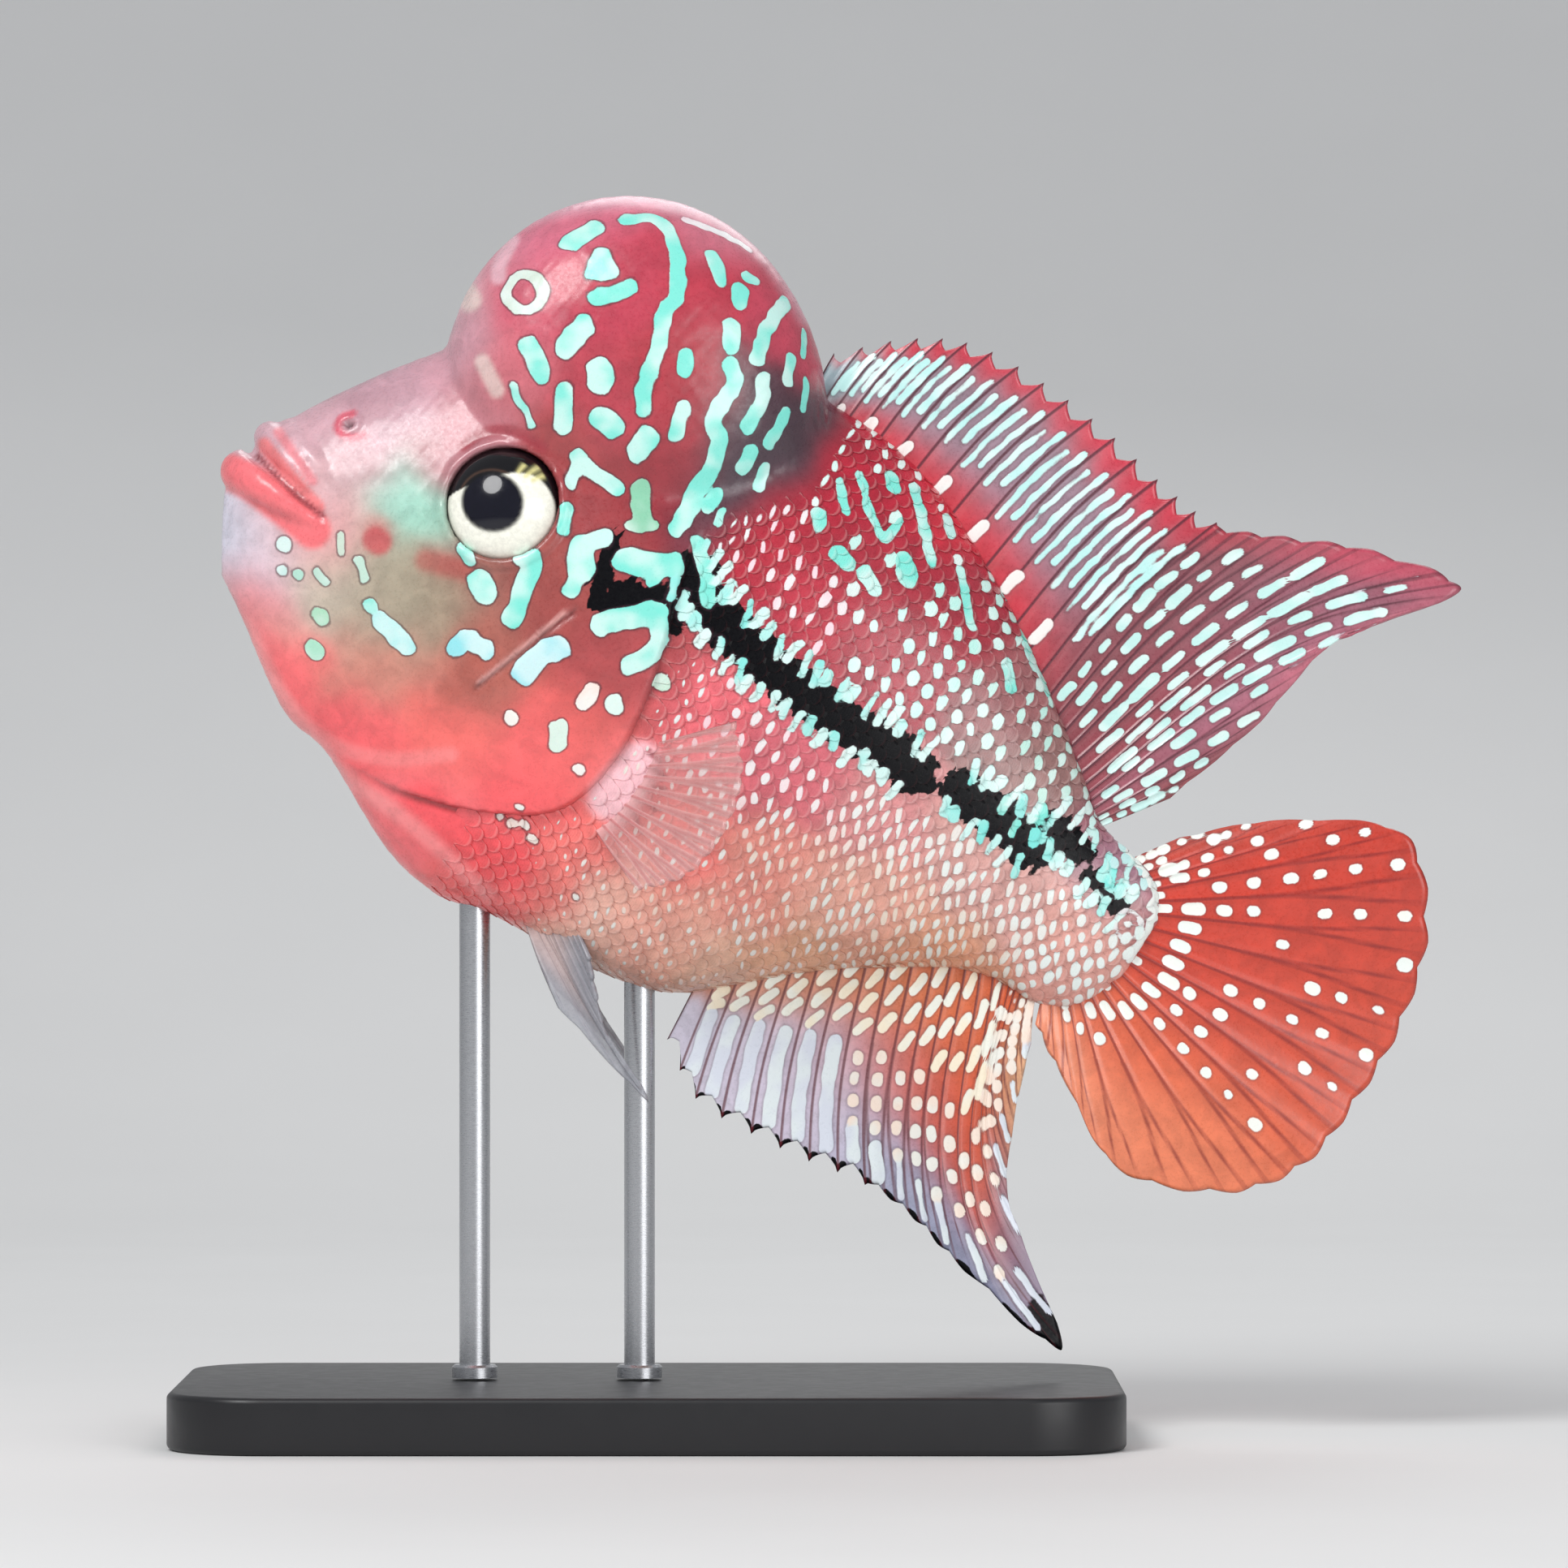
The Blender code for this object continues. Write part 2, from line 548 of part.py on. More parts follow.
def parted_body(tree, flesh, cheek):
    """Head, jaw, hump, gill covers, torso and tail stem, parted with thin cuts."""
    wide = 60.0
    head_outline = GILL_EDGE + HEAD_FRONT
    cover_outline = COVER_FRONT + COVER_TOP + GILL_EDGE[2:10]
    head = whole_head(tree)
    torso = trunk("torso")
    hump = copy_of(head, "hump")
    jaw = copy_of(head, "jaw_lower")
    covers = {label: copy_of(head, f"gill_cover_{label}") for label in SIDES}
    tail = copy_of(torso, "tail_stem")

    combine(hump, [prism("hump block", HUMP_OUTLINE, -wide, wide)], "INTERSECT")
    combine(jaw, [prism("jaw block", JAW_OUTLINE, -wide, wide)], "INTERSECT")
    combine(tail, [prism("tail block", TAIL_OUTLINE, -wide, wide)], "INTERSECT")
    for label, side in SIDES.items():
        ends = sorted((side * COVER_FLOOR, side * wide))
        combine(covers[label], [prism("cover block", cover_outline, *ends)], "INTERSECT")

    combine(head, [prism("head block", head_outline, -wide, wide)], "INTERSECT")
    cuts = [
        prism("hump cut", HUMP_OUTLINE, -wide, wide, GAP),
        prism("jaw cut", JAW_OUTLINE, -wide, wide, GAP),
    ]
    for label, side in SIDES.items():
        ends = sorted((side * (COVER_FLOOR - GAP), side * wide))
        cuts.append(prism("cover cut", cover_outline, *ends, GAP))
        cuts.append(eye_ball("socket", tree, side, GAP))
        pit = skin_frame(tree, *NOSTRIL_CENTRE, side, 0.0)
        cuts.append(ball("pit", pit, (NOSTRIL_PIT[0], NOSTRIL_PIT[1], NOSTRIL_PIT[0]), 10, 6))
    combine(head, cuts, "DIFFERENCE")
    combine(
        torso,
        [
            prism("hump cut", HUMP_OUTLINE, -wide, wide, GAP),
            prism("head cut", head_outline, -wide, wide, GAP),
            prism("tail cut", TAIL_OUTLINE, -wide, wide, GAP),
        ],
        "DIFFERENCE",
    )
    dress(keep_largest(hump), flesh["hump"])
    dress(keep_largest(jaw), cheek)
    dress(keep_largest(head), flesh["head"])
    dress(keep_largest(torso), flesh["torso"])
    dress(keep_largest(tail), flesh["torso"])
    for made in covers.values():
        dress(keep_largest(made), cheek)


def ray_places(first, last, rays):
    """Evenly spaced places of rays, counted in guides."""
    return list(np.linspace(first, last, rays))


def fin_columns(places, spines):
    """Columns of a fin: (place, kind) with a foot on each side of every crest and a middle between spines."""
    columns = []
    for index, place in enumerate(places):
        step = places[min(index + 1, len(places) - 1)] - places[max(index, 1) - 1]
        spread = RIDGE_FOOT * (step / 2 if 0 < index < len(places) - 1 else step)
        columns += [(place - spread, "foot"), (place, "crest"), (place + spread, "foot")]
        if index + 1 < spines:
            columns.append(((place + places[index + 1]) / 2, "middle"))
    return columns


def fin(name, guides, places, side=1, reach=1.0, spines=0, crest=1.3, notch=1.0, spike=0.8, wave=0.6):
    """Closed fin whose rays are ridges raised in both faces of its membrane.

    The spines are the first rays, whose points stand out of the edge with a notch between them.
    """
    roots = np.array([root for root, _, _ in guides])
    tips = roots + (np.array([tip for _, tip, _ in guides]) - roots) * reach
    bows = np.array([bow for _, _, bow in guides])
    bm = bmesh.new()
    middle = []
    depth = []
    for place, kind in fin_columns(places, spines):
        root = smooth_through(roots, place)
        tip = smooth_through(tips, place)
        length = np.linalg.norm(tip - root)
        along = (tip - root) / length
        if kind == "crest":
            tip = tip + along * (spike if place < places[max(spines, 1) - 1] else SOFT_SPIKE)
        elif kind == "middle":
            tip = tip - along * notch
        across = np.array([-along[1], along[0], 0.0]) * length * smooth_through(bows, place)
        line = []
        sizes = []
        for row in range(FIN_ROWS + 1):
            t = row / FIN_ROWS
            spot = root + (tip - root) * t + across * math.sin(math.pi * t**1.25)
            sway = wave * t * t * math.sin(1.7 * place + 0.6)
            line.append(bm.verts.new(body_point(spot[0], spot[1], side * (spot[2] + sway))))
            sizes.append((crest * (1 - 0.55 * t) if kind == "crest" else MEMBRANE) / 2 * MM)
        middle.append(line)
        depth.append(sizes)
    for first, second in zip(middle, middle[1:]):
        for row in range(FIN_ROWS):
            bm.faces.new((first[row], second[row], second[row + 1], first[row + 1]))
    bmesh.ops.triangulate(bm, faces=bm.faces, quad_method="FIXED")
    bm.normal_update()
    grids = []
    for turn in (1.0, -1.0):
        shell = {}
        for line, sizes in zip(middle, depth):
            for vert, size in zip(line, sizes):
                shell[vert] = bm.verts.new(vert.co + vert.normal * size * turn)
        grids.append(shell)
    faces = list(bm.faces)
    rim = [edge for edge in bm.edges if len(edge.link_faces) == 1]
    front, back = grids
    for face in faces:
        bm.faces.new([front[vert] for vert in face.verts])
        bm.faces.new([back[vert] for vert in reversed(face.verts)])
    for edge in rim:
        a, b = edge.verts
        bm.faces.new((front[a], front[b], back[b], back[a]))
    bmesh.ops.delete(bm, geom=[vert for line in middle for vert in line], context="VERTS")
    bmesh.ops.triangulate(bm, faces=bm.faces)
    return mesh_object(name, bm)


def set_on_body(made, room, material):
    """Cuts the root of a piece clear of the body and finishes it."""
    combine(made, [copy_of(room, "body room")], "DIFFERENCE")
    return dress(keep_largest(made), material)


def median_fins(room, skin):
    """Dorsal, anal and caudal fins."""
    spines = ray_places(0, DORSAL_SOFT_START, DORSAL_SPINES)
    soft = ray_places(DORSAL_SOFT_START, len(DORSAL_GUIDES) - 1, DORSAL_SOFT_RAYS)
    dorsal = fin("dorsal_fin", DORSAL_GUIDES, spines + soft[1:], spines=DORSAL_SPINES)
    set_on_body(dorsal, room, skin["dorsal"])
    anal_places = ray_places(0, len(ANAL_GUIDES) - 1, ANAL_RAYS)
    anal = fin("anal_fin", ANAL_GUIDES, anal_places, spines=ANAL_SPINES)
    set_on_body(anal, room, skin["anal"])
    caudal_places = ray_places(0, len(CAUDAL_GUIDES) - 1, CAUDAL_RAYS)
    caudal = fin("caudal_fin", CAUDAL_GUIDES, caudal_places, wave=1.0)
    set_on_body(caudal, room, skin["caudal"])


def paired_fins(tree, room, skin):
    """Pectoral fins with their fleshy bases, and pelvic fins."""
    pectoral_places = ray_places(0, len(PECTORAL_GUIDES) - 1, PECTORAL_RAYS)
    pelvic_places = ray_places(0, len(PELVIC_GUIDES) - 1, PELVIC_RAYS)
    for label, side in SIDES.items():
        fan = fin(f"pectoral_fin_{label}", PECTORAL_GUIDES, pectoral_places, side, crest=1.0)
        frame = skin_frame(tree, *PECTORAL_LOBE_CENTRE, side, PECTORAL_LOBE_SINK)
        lobe = ball("lobe", frame, PECTORAL_LOBE_RADII, 12, 7)
        combine(fan, [lobe], "UNION")
        set_on_body(fan, room, skin["pectoral"])
        reach = PELVIC_REACH[label]
        blade = fin(f"pelvic_fin_{label}", PELVIC_GUIDES, pelvic_places, side, reach, crest=1.1, wave=0.4)
        set_on_body(blade, room, skin["pelvic"])


def eyes(tree, material):
    """Both eyes."""
    for label, side in SIDES.items():
        dress(eye_ball(f"eye_{label}", tree, side), material)


def stand(room, board, steel):
    """Flat base with rounded corners and two rods up to the underside of the fish."""
    bm = bmesh.new()
    size = Matrix.Diagonal((BASE_LENGTH * MM, BASE_WIDTH * MM, BASE_HEIGHT * MM, 1.0))
    raise_base = Matrix.Translation((0.0, 0.0, BASE_HEIGHT * MM / 2))
    bmesh.ops.create_cube(bm, size=1.0, matrix=raise_base @ size)
    half = BASE_HEIGHT * MM / 2
    upright = [edge for edge in bm.edges if abs(edge.verts[0].co.z - edge.verts[1].co.z) > half]
    bmesh.ops.bevel(
        bm, geom=upright, offset=BASE_CORNER * MM, affect="EDGES", segments=6, profile=0.5, material=-1
    )
    top = [face for face in bm.faces if face.normal.z > 0.5]
    edges = [edge for face in top for edge in face.edges]
    bmesh.ops.bevel(
        bm, geom=edges, offset=BASE_EDGE * MM, affect="EDGES", segments=2, profile=0.5, material=-1
    )
    dress(mesh_object("stand_base", bm), board)
    low = BASE_HEIGHT + GAP
    for label, x in ROD_PLACES.items():
        bm = bmesh.new()
        middle = Matrix.Translation((x * MM, 0.0, (low + ROD_TOP) / 2 * MM))
        bmesh.ops.create_cone(
            bm, cap_ends=True, segments=ROD_SIDES, radius1=ROD_RADIUS * MM, radius2=ROD_RADIUS * MM,
            depth=(ROD_TOP - low) * MM, matrix=middle,
        )
        set_on_body(mesh_object(f"stand_rod_{label}", bm), room, steel)


def main():
    """Builds the fish and its stand."""
    for old in list(bpy.data.objects):
        bpy.data.objects.remove(old)
    flesh = {
        "head": finish("mottled red-grey head skin", (0.55, 0.26, 0.27), 0.35),
        "hump": finish("rose hump skin", (0.72, 0.13, 0.20), 0.30),
        "torso": finish("red-grey scaled skin", (0.60, 0.33, 0.28), 0.38),
    }
    cheek = finish("greenish cheek skin", (0.50, 0.42, 0.36), 0.35)
    fins = {
        "dorsal": finish("crimson dorsal membrane", (0.60, 0.12, 0.16), 0.35),
        "anal": finish("orange anal membrane", (0.75, 0.33, 0.22), 0.35),
        "caudal": finish("brick red tail membrane", (0.70, 0.24, 0.14), 0.35),
        "pectoral": finish("pale pink pectoral membrane", (0.85, 0.60, 0.56), 0.35),
        "pelvic": finish("grey-white pelvic membrane", (0.72, 0.70, 0.70), 0.35),
    }
    room = trunk("body room", lift=COVER_LIFT, swell=GAP)
    tree = skin_tree(room)
    parted_body(tree, flesh, cheek)
    median_fins(room, fins)
    paired_fins(tree, room, fins)
    eyes(tree, finish("glossy eye", (0.85, 0.85, 0.82), 0.08))
    board = finish("satin black board", (0.03, 0.03, 0.035), 0.40)
    stand(room, board, finish("brushed steel", (0.6, 0.6, 0.6), 0.3, 1.0))
    bpy.data.objects.remove(room)


main()
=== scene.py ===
"""Looks of the flowerhorn cichlid model: one skin with its scales, the fins, the eyes and the stand.

Sizes are in millimetres in the fish's own frame: u from the mouth to the tail, v from the belly to the
back, w out to the fish's right. Places of markings are in the side view, x along the stand and z above
its underside. Meshes are turned into metres in the CAD's frame when they are made.
"""

import logging
import math
from dataclasses import dataclass, field
from enum import Enum

import bmesh
import bpy
import numpy as np
from mathutils import Matrix, Vector
from mathutils.bvhtree import BVHTree
from mathutils.kdtree import KDTree


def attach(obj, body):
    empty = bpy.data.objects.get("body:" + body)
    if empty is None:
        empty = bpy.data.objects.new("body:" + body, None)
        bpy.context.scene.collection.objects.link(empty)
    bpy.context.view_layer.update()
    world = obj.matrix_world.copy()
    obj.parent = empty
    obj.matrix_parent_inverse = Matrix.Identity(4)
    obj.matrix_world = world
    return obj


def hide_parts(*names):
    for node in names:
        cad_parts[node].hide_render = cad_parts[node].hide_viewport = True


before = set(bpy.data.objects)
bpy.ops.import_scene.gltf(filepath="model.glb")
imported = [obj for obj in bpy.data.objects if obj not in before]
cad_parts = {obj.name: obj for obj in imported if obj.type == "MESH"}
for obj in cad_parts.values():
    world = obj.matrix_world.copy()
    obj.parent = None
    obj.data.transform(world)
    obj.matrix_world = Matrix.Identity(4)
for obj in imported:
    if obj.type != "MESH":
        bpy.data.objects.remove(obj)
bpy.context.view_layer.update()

logging.basicConfig(level=logging.INFO, format="%(message)s")
log = logging.getLogger("scene")

Array = np.ndarray
Output = bpy.types.NodeSocket
Pair = tuple[float, float]
Piece = bpy.types.Object
Triple = tuple[float, float, float]

MM = 0.001
PITCH = math.radians(30.0)
MOUTH_X = -53.0
MOUTH_Z = 117.0
FLESH = ("head", "hump", "jaw_lower", "gill_cover_left", "gill_cover_right", "torso", "tail_stem")
AHEAD_OF_FISH = ((10.0, -60.0), (-60.0, -20.0), (-40.0, 70.0))


class Side(Enum):
    """Sides of the fish, as the sign of w."""

    LEFT = -1
    RIGHT = 1


def srgb(red: float, green: float, blue: float) -> Triple:
    """Linear colour of a display colour given from 0 to 255."""
    return tuple(
        c / 255 / 12.92 if c <= 10.3 else ((c / 255 + 0.055) / 1.055) ** 2.4 for c in (red, green, blue)
    )


def opaque(red: float, green: float, blue: float) -> tuple:
    """Display colour from 0 to 255 as the colour of a socket."""
    return (*srgb(red, green, blue), 1.0)


def to_world(points: Array) -> Array:
    """World places (x, y, z) in millimetres of points (u, v, w)."""
    u, v, w = np.moveaxis(np.asarray(points, float), -1, 0)
    x = MOUTH_X + u * math.cos(PITCH) + v * math.sin(PITCH)
    z = MOUTH_Z - u * math.sin(PITCH) + v * math.cos(PITCH)
    return np.stack([x, w, z], axis=-1)


def to_body(points: Array) -> Array:
    """Points (u, v, w) of world places (x, y, z) in millimetres."""
    x, y, z = np.moveaxis(np.asarray(points, float), -1, 0)
    x = x - MOUTH_X
    z = z - MOUTH_Z
    u = x * math.cos(PITCH) - z * math.sin(PITCH)
    v = x * math.sin(PITCH) + z * math.cos(PITCH)
    return np.stack([u, v, y], axis=-1)


def direction(u: float, v: float, w: float) -> Array:
    """World direction of a direction in the fish's frame."""
    return to_world(np.array([u, v, w])) - to_world(np.zeros(3))


def side_view(*places: Pair) -> Array:
    """Body places (u, v) of side-view places (x, z)."""
    return to_body(np.array([(x, 0.0, z) for x, z in places]))[:, :2]


def smooth_through(values: Array, at: Array) -> Array:
    """Catmull-Rom values of a row of points at places counted in points."""
    values = np.asarray(values, float)
    at = np.atleast_1d(np.asarray(at, float))
    start = np.clip(np.floor(at).astype(int), 0, len(values) - 2)
    t = (at - start)[:, None]
    row = np.vstack([2 * values[0] - values[1], values, 2 * values[-1] - values[-2]])
    before, a, b, after = (row[start + step] for step in range(4))
    bend = (2 * before - 5 * a + 4 * b - after) * t**2 + (3 * a - before - 3 * b + after) * t**3
    return 0.5 * (2 * a + (b - before) * t + bend)


def resampled(chain: tuple | Array, count: int) -> Array:
    """A number of Catmull-Rom points along a chain, evenly counted in its points."""
    return smooth_through(np.array(chain), np.linspace(0, len(chain) - 1, count))


def run_along(line: Array) -> Array:
    """Distance along a line at each of its points."""
    return np.concatenate([[0.0], np.cumsum(np.linalg.norm(np.diff(line, axis=0), axis=1))])


def at_run(line: Array, run: Array, wanted: float | Array) -> Array:
    """Places on a line at distances along it, whose points lie at the distances of run."""
    return np.stack([np.interp(wanted, run, axis) for axis in line.T], axis=-1)


def chance_of(angle: float, factor: float) -> float:
    """Repeatable number from 0 to 1 that looks random."""
    return math.modf(abs(math.sin(angle)) * factor)[0]


def eased(value: Array, low: float, high: float) -> Array:
    """Smooth step from 0 at low to 1 at high."""
    t = np.clip((np.asarray(value, float) - low) / (high - low), 0.0, 1.0)
    return t * t * (3 - 2 * t)


def chain_distance(points: Array, chain: Array) -> Array:
    """Distance of each point from a chain of straight links, in two or three dimensions."""
    best = np.full(len(points), 1e9)
    for start, end in zip(chain, chain[1:]):
        link = end - start
        along = np.clip((points - start) @ link / max(link @ link, 1e-12), 0.0, 1.0)
        gap = points - start - along[:, None] * link
        best = np.minimum(best, np.einsum("ij,ij->i", gap, gap))
    return np.sqrt(best)


def lay_stroke(
    best: Array,
    colour: Array,
    points: Array,
    among: Array,
    stroke: tuple[Array, float, Triple],
    margin: float,
) -> None:
    """Keeps, in best and colour, a stroke's distance and tint wherever no other stroke is nearer.

    Args:
        best: Distance of each point to its nearest stroke so far, changed in place.
        colour: Tint of that stroke, changed in place.
        points: Places in millimetres.
        among: Numbers of the points to look at.
        stroke: Its points, half width and linear colour.
        margin: Distance from its edge to which the stroke is felt.
    """
    chain, half, tint = stroke
    low = chain.min(axis=0) - half - margin
    high = chain.max(axis=0) + half + margin
    near = among[((points[among] > low) & (points[among] < high)).all(axis=1)]
    if not len(near):
        return
    far = chain_distance(points[near], chain) - half
    closer = far < best[near]
    best[near[closer]] = far[closer]
    colour[near[closer]] = tint


def within(points: Array, outline: Array) -> Array:
    """Whether each flat point lies inside an outline."""
    inside = np.zeros(len(points), bool)
    x, y = points.T
    for (ax, ay), (bx, by) in zip(outline, np.roll(outline, -1, axis=0)):
        if ay == by:
            continue
        crosses = (ay > y) != (by > y)
        inside ^= crosses & (x < (bx - ax) * (y - ay) / (by - ay) + ax)
    return inside


def wander(points: Array, size: float, seed: float) -> Array:
    """Smooth pseudo-random value from -1 to 1 at each point, with waves of a given size."""
    p = np.asarray(points, float) * (2 * math.pi / size)
    total = np.zeros(len(p))
    for step in range(5):
        turn = seed * 1.7 + step * 2.399
        way = np.array([math.cos(turn), math.sin(turn * 1.3) * 0.7, math.sin(turn)])[: p.shape[1]]
        bent = p @ way + 1.3 * np.sin(p @ way[::-1] * 0.61 + seed * 3.1 + step)
        total += np.sin(bent * (0.7 + 0.23 * step) + seed * 5.3 * (step + 1))
    return np.clip(total / 2.6, -1.0, 1.0)


def link_mesh(name: str, bm: bmesh.types.BMesh) -> Piece:
    """A linked object, in metres, of a bmesh in millimetres, which is freed."""
    mesh = bpy.data.meshes.new(name)
    bmesh.ops.scale(bm, vec=(MM, MM, MM), verts=bm.verts)
    bm.to_mesh(mesh)
    bm.free()
    made = bpy.data.objects.new(name, mesh)
    bpy.context.scene.collection.objects.link(made)
    mesh.shade_smooth()
    return made


def grid(columns: int, rows: int, places: Array) -> bmesh.types.BMesh:
    """Sheet of columns by rows points, each moved to its place in millimetres.

    Args:
        columns: Points across.
        rows: Points up.
        places: Array of (rows, columns, 3) places.

    Returns:
        The sheet.
    """
    bm = bmesh.new()
    bmesh.ops.create_grid(bm, x_segments=columns - 1, y_segments=rows - 1, size=1.0)
    bm.verts.ensure_lookup_table()
    for vert, place in zip(bm.verts, places.reshape(-1, 3)):
        vert.co = place
    return bm


def tube(places: Array) -> bmesh.types.BMesh:
    """Closed tube through rings of points, its seam welded and its ends filled.

    Args:
        places: Array of (rings, points, 3) places in millimetres.

    Returns:
        The tube, with its faces turned outwards.
    """
    round_again = np.concatenate([places, places[:, :1]], axis=1)
    bm = grid(round_again.shape[1], round_again.shape[0], round_again)
    bmesh.ops.remove_doubles(bm, verts=bm.verts, dist=1e-5)
    bmesh.ops.holes_fill(bm, edges=[edge for edge in bm.edges if edge.is_boundary], sides=0)
    bmesh.ops.recalc_face_normals(bm, faces=bm.faces)
    return bm


def points_of(made: Piece) -> Array:
    """Vertex places of an object, in millimetres."""
    flat = np.empty(len(made.data.vertices) * 3, np.float32)
    made.data.vertices.foreach_get("co", flat)
    return flat.reshape(-1, 3).astype(float) / MM


def move_points(made: Piece, places: Array) -> None:
    """Sets the vertex places of an object from millimetres."""
    made.data.vertices.foreach_set("co", (places * MM).astype(np.float32).ravel())
    made.data.update()


def normals_of(made: Piece) -> Array:
    """Vertex normals of an object."""
    flat = np.empty(len(made.data.vertices) * 3, np.float32)
    made.data.vertex_normals.foreach_get("vector", flat)
    return flat.reshape(-1, 3).astype(float)


def write(made: Piece, **layers: Array) -> None:
    """Stores one number or one linear colour for each vertex, under the name of each layer."""
    for name, values in layers.items():
        if values.ndim == 1:
            layer = made.data.attributes.new(name, "FLOAT", "POINT")
            layer.data.foreach_set("value", np.ascontiguousarray(values, np.float32))
        else:
            layer = made.data.attributes.new(name, "FLOAT_COLOR", "POINT")
            full = np.ones((len(values), 4), np.float32)
            full[:, :3] = values
            layer.data.foreach_set("color", full.ravel())


def tree_of(made: Piece) -> BVHTree:
    """Search tree of an object's surface, in millimetres."""
    bm = bmesh.new()
    bm.from_mesh(made.data)
    bmesh.ops.scale(bm, vec=(1 / MM,) * 3, verts=bm.verts)
    tree = BVHTree.FromBMesh(bm)
    bm.free()
    return tree


class Graph:
    """Node tree of one material, with short calls for the nodes used here."""

    def __init__(self, name: str) -> None:
        """Makes an empty material with its Principled shader."""
        self.material = bpy.data.materials.new(name)
        self.material.use_nodes = True
        self.tree = self.material.node_tree
        self.shader = self.tree.nodes["Principled BSDF"]

    def node(self, kind: str, **settings) -> bpy.types.Node:
        """A new node with its settings."""
        made = self.tree.nodes.new(kind)
        for key, value in settings.items():
            setattr(made, key, value)
        return made

    def put(self, socket, value) -> None:
        """Links a socket to the input, or sets the input's own value."""
        if isinstance(value, bpy.types.NodeSocket):
            self.tree.links.new(value, socket)
        else:
            socket.default_value = value

    def shade(self, name: str, value) -> None:
        """Links or sets an input of the shader."""
        self.put(self.shader.inputs[name], value)

    def times(self, first, second) -> Output:
        """Product of two values."""
        return self.math("MULTIPLY", first, second)

    def attribute(self, name: str, colour: bool = False) -> Output:
        """Output of a vertex attribute."""
        made = self.node("ShaderNodeAttribute", attribute_name=name)
        return made.outputs["Color" if colour else "Fac"]

    def math(self, operation: str, *values) -> Output:
        """Result of a sum of one to three values."""
        made = self.node("ShaderNodeMath", operation=operation)
        for socket, value in zip(made.inputs, values):
            self.put(socket, value)
        return made.outputs[0]

    def step(self, value, low: float, high: float, to_low: float = 0.0, to_high: float = 1.0) -> Output:
        """Smooth step of a value between two bounds."""
        made = self.node("ShaderNodeMapRange", interpolation_type="SMOOTHSTEP")
        self.put(made.inputs["Value"], value)
        for name, bound in (("From Min", low), ("From Max", high), ("To Min", to_low), ("To Max", to_high)):
            made.inputs[name].default_value = bound
        return made.outputs["Result"]

    def noise(
        self, per_mm: float, detail: float = 3.0, roughness: float = 0.55, distortion: float = 0.0
    ) -> Output:
        """Noise in Object coordinates with a number of waves per millimetre."""
        made = self.node("ShaderNodeTexNoise")
        place = self.node("ShaderNodeTexCoord")
        self.tree.links.new(place.outputs["Object"], made.inputs["Vector"])
        made.inputs["Scale"].default_value = per_mm / MM
        made.inputs["Detail"].default_value = detail
        made.inputs["Roughness"].default_value = roughness
        made.inputs["Distortion"].default_value = distortion
        return made.outputs["Fac"]

    def mix(self, part, first, second, blend: str = "MIX") -> Output:
        """Mix of two colours."""
        made = self.node("ShaderNodeMix", data_type="RGBA", blend_type=blend)
        self.put(made.inputs[0], part)
        self.put(made.inputs[6], first)
        self.put(made.inputs[7], second)
        return made.outputs[2]

    def bump(self, height, distance_mm: float, strength: float = 1.0, below=None) -> Output:
        """Bump normal of a height."""
        made = self.node("ShaderNodeBump")
        self.put(made.inputs["Height"], height)
        made.inputs["Distance"].default_value = distance_mm * MM
        made.inputs["Strength"].default_value = strength
        if below is not None:
            self.put(made.inputs["Normal"], below)
        return made.outputs["Normal"]


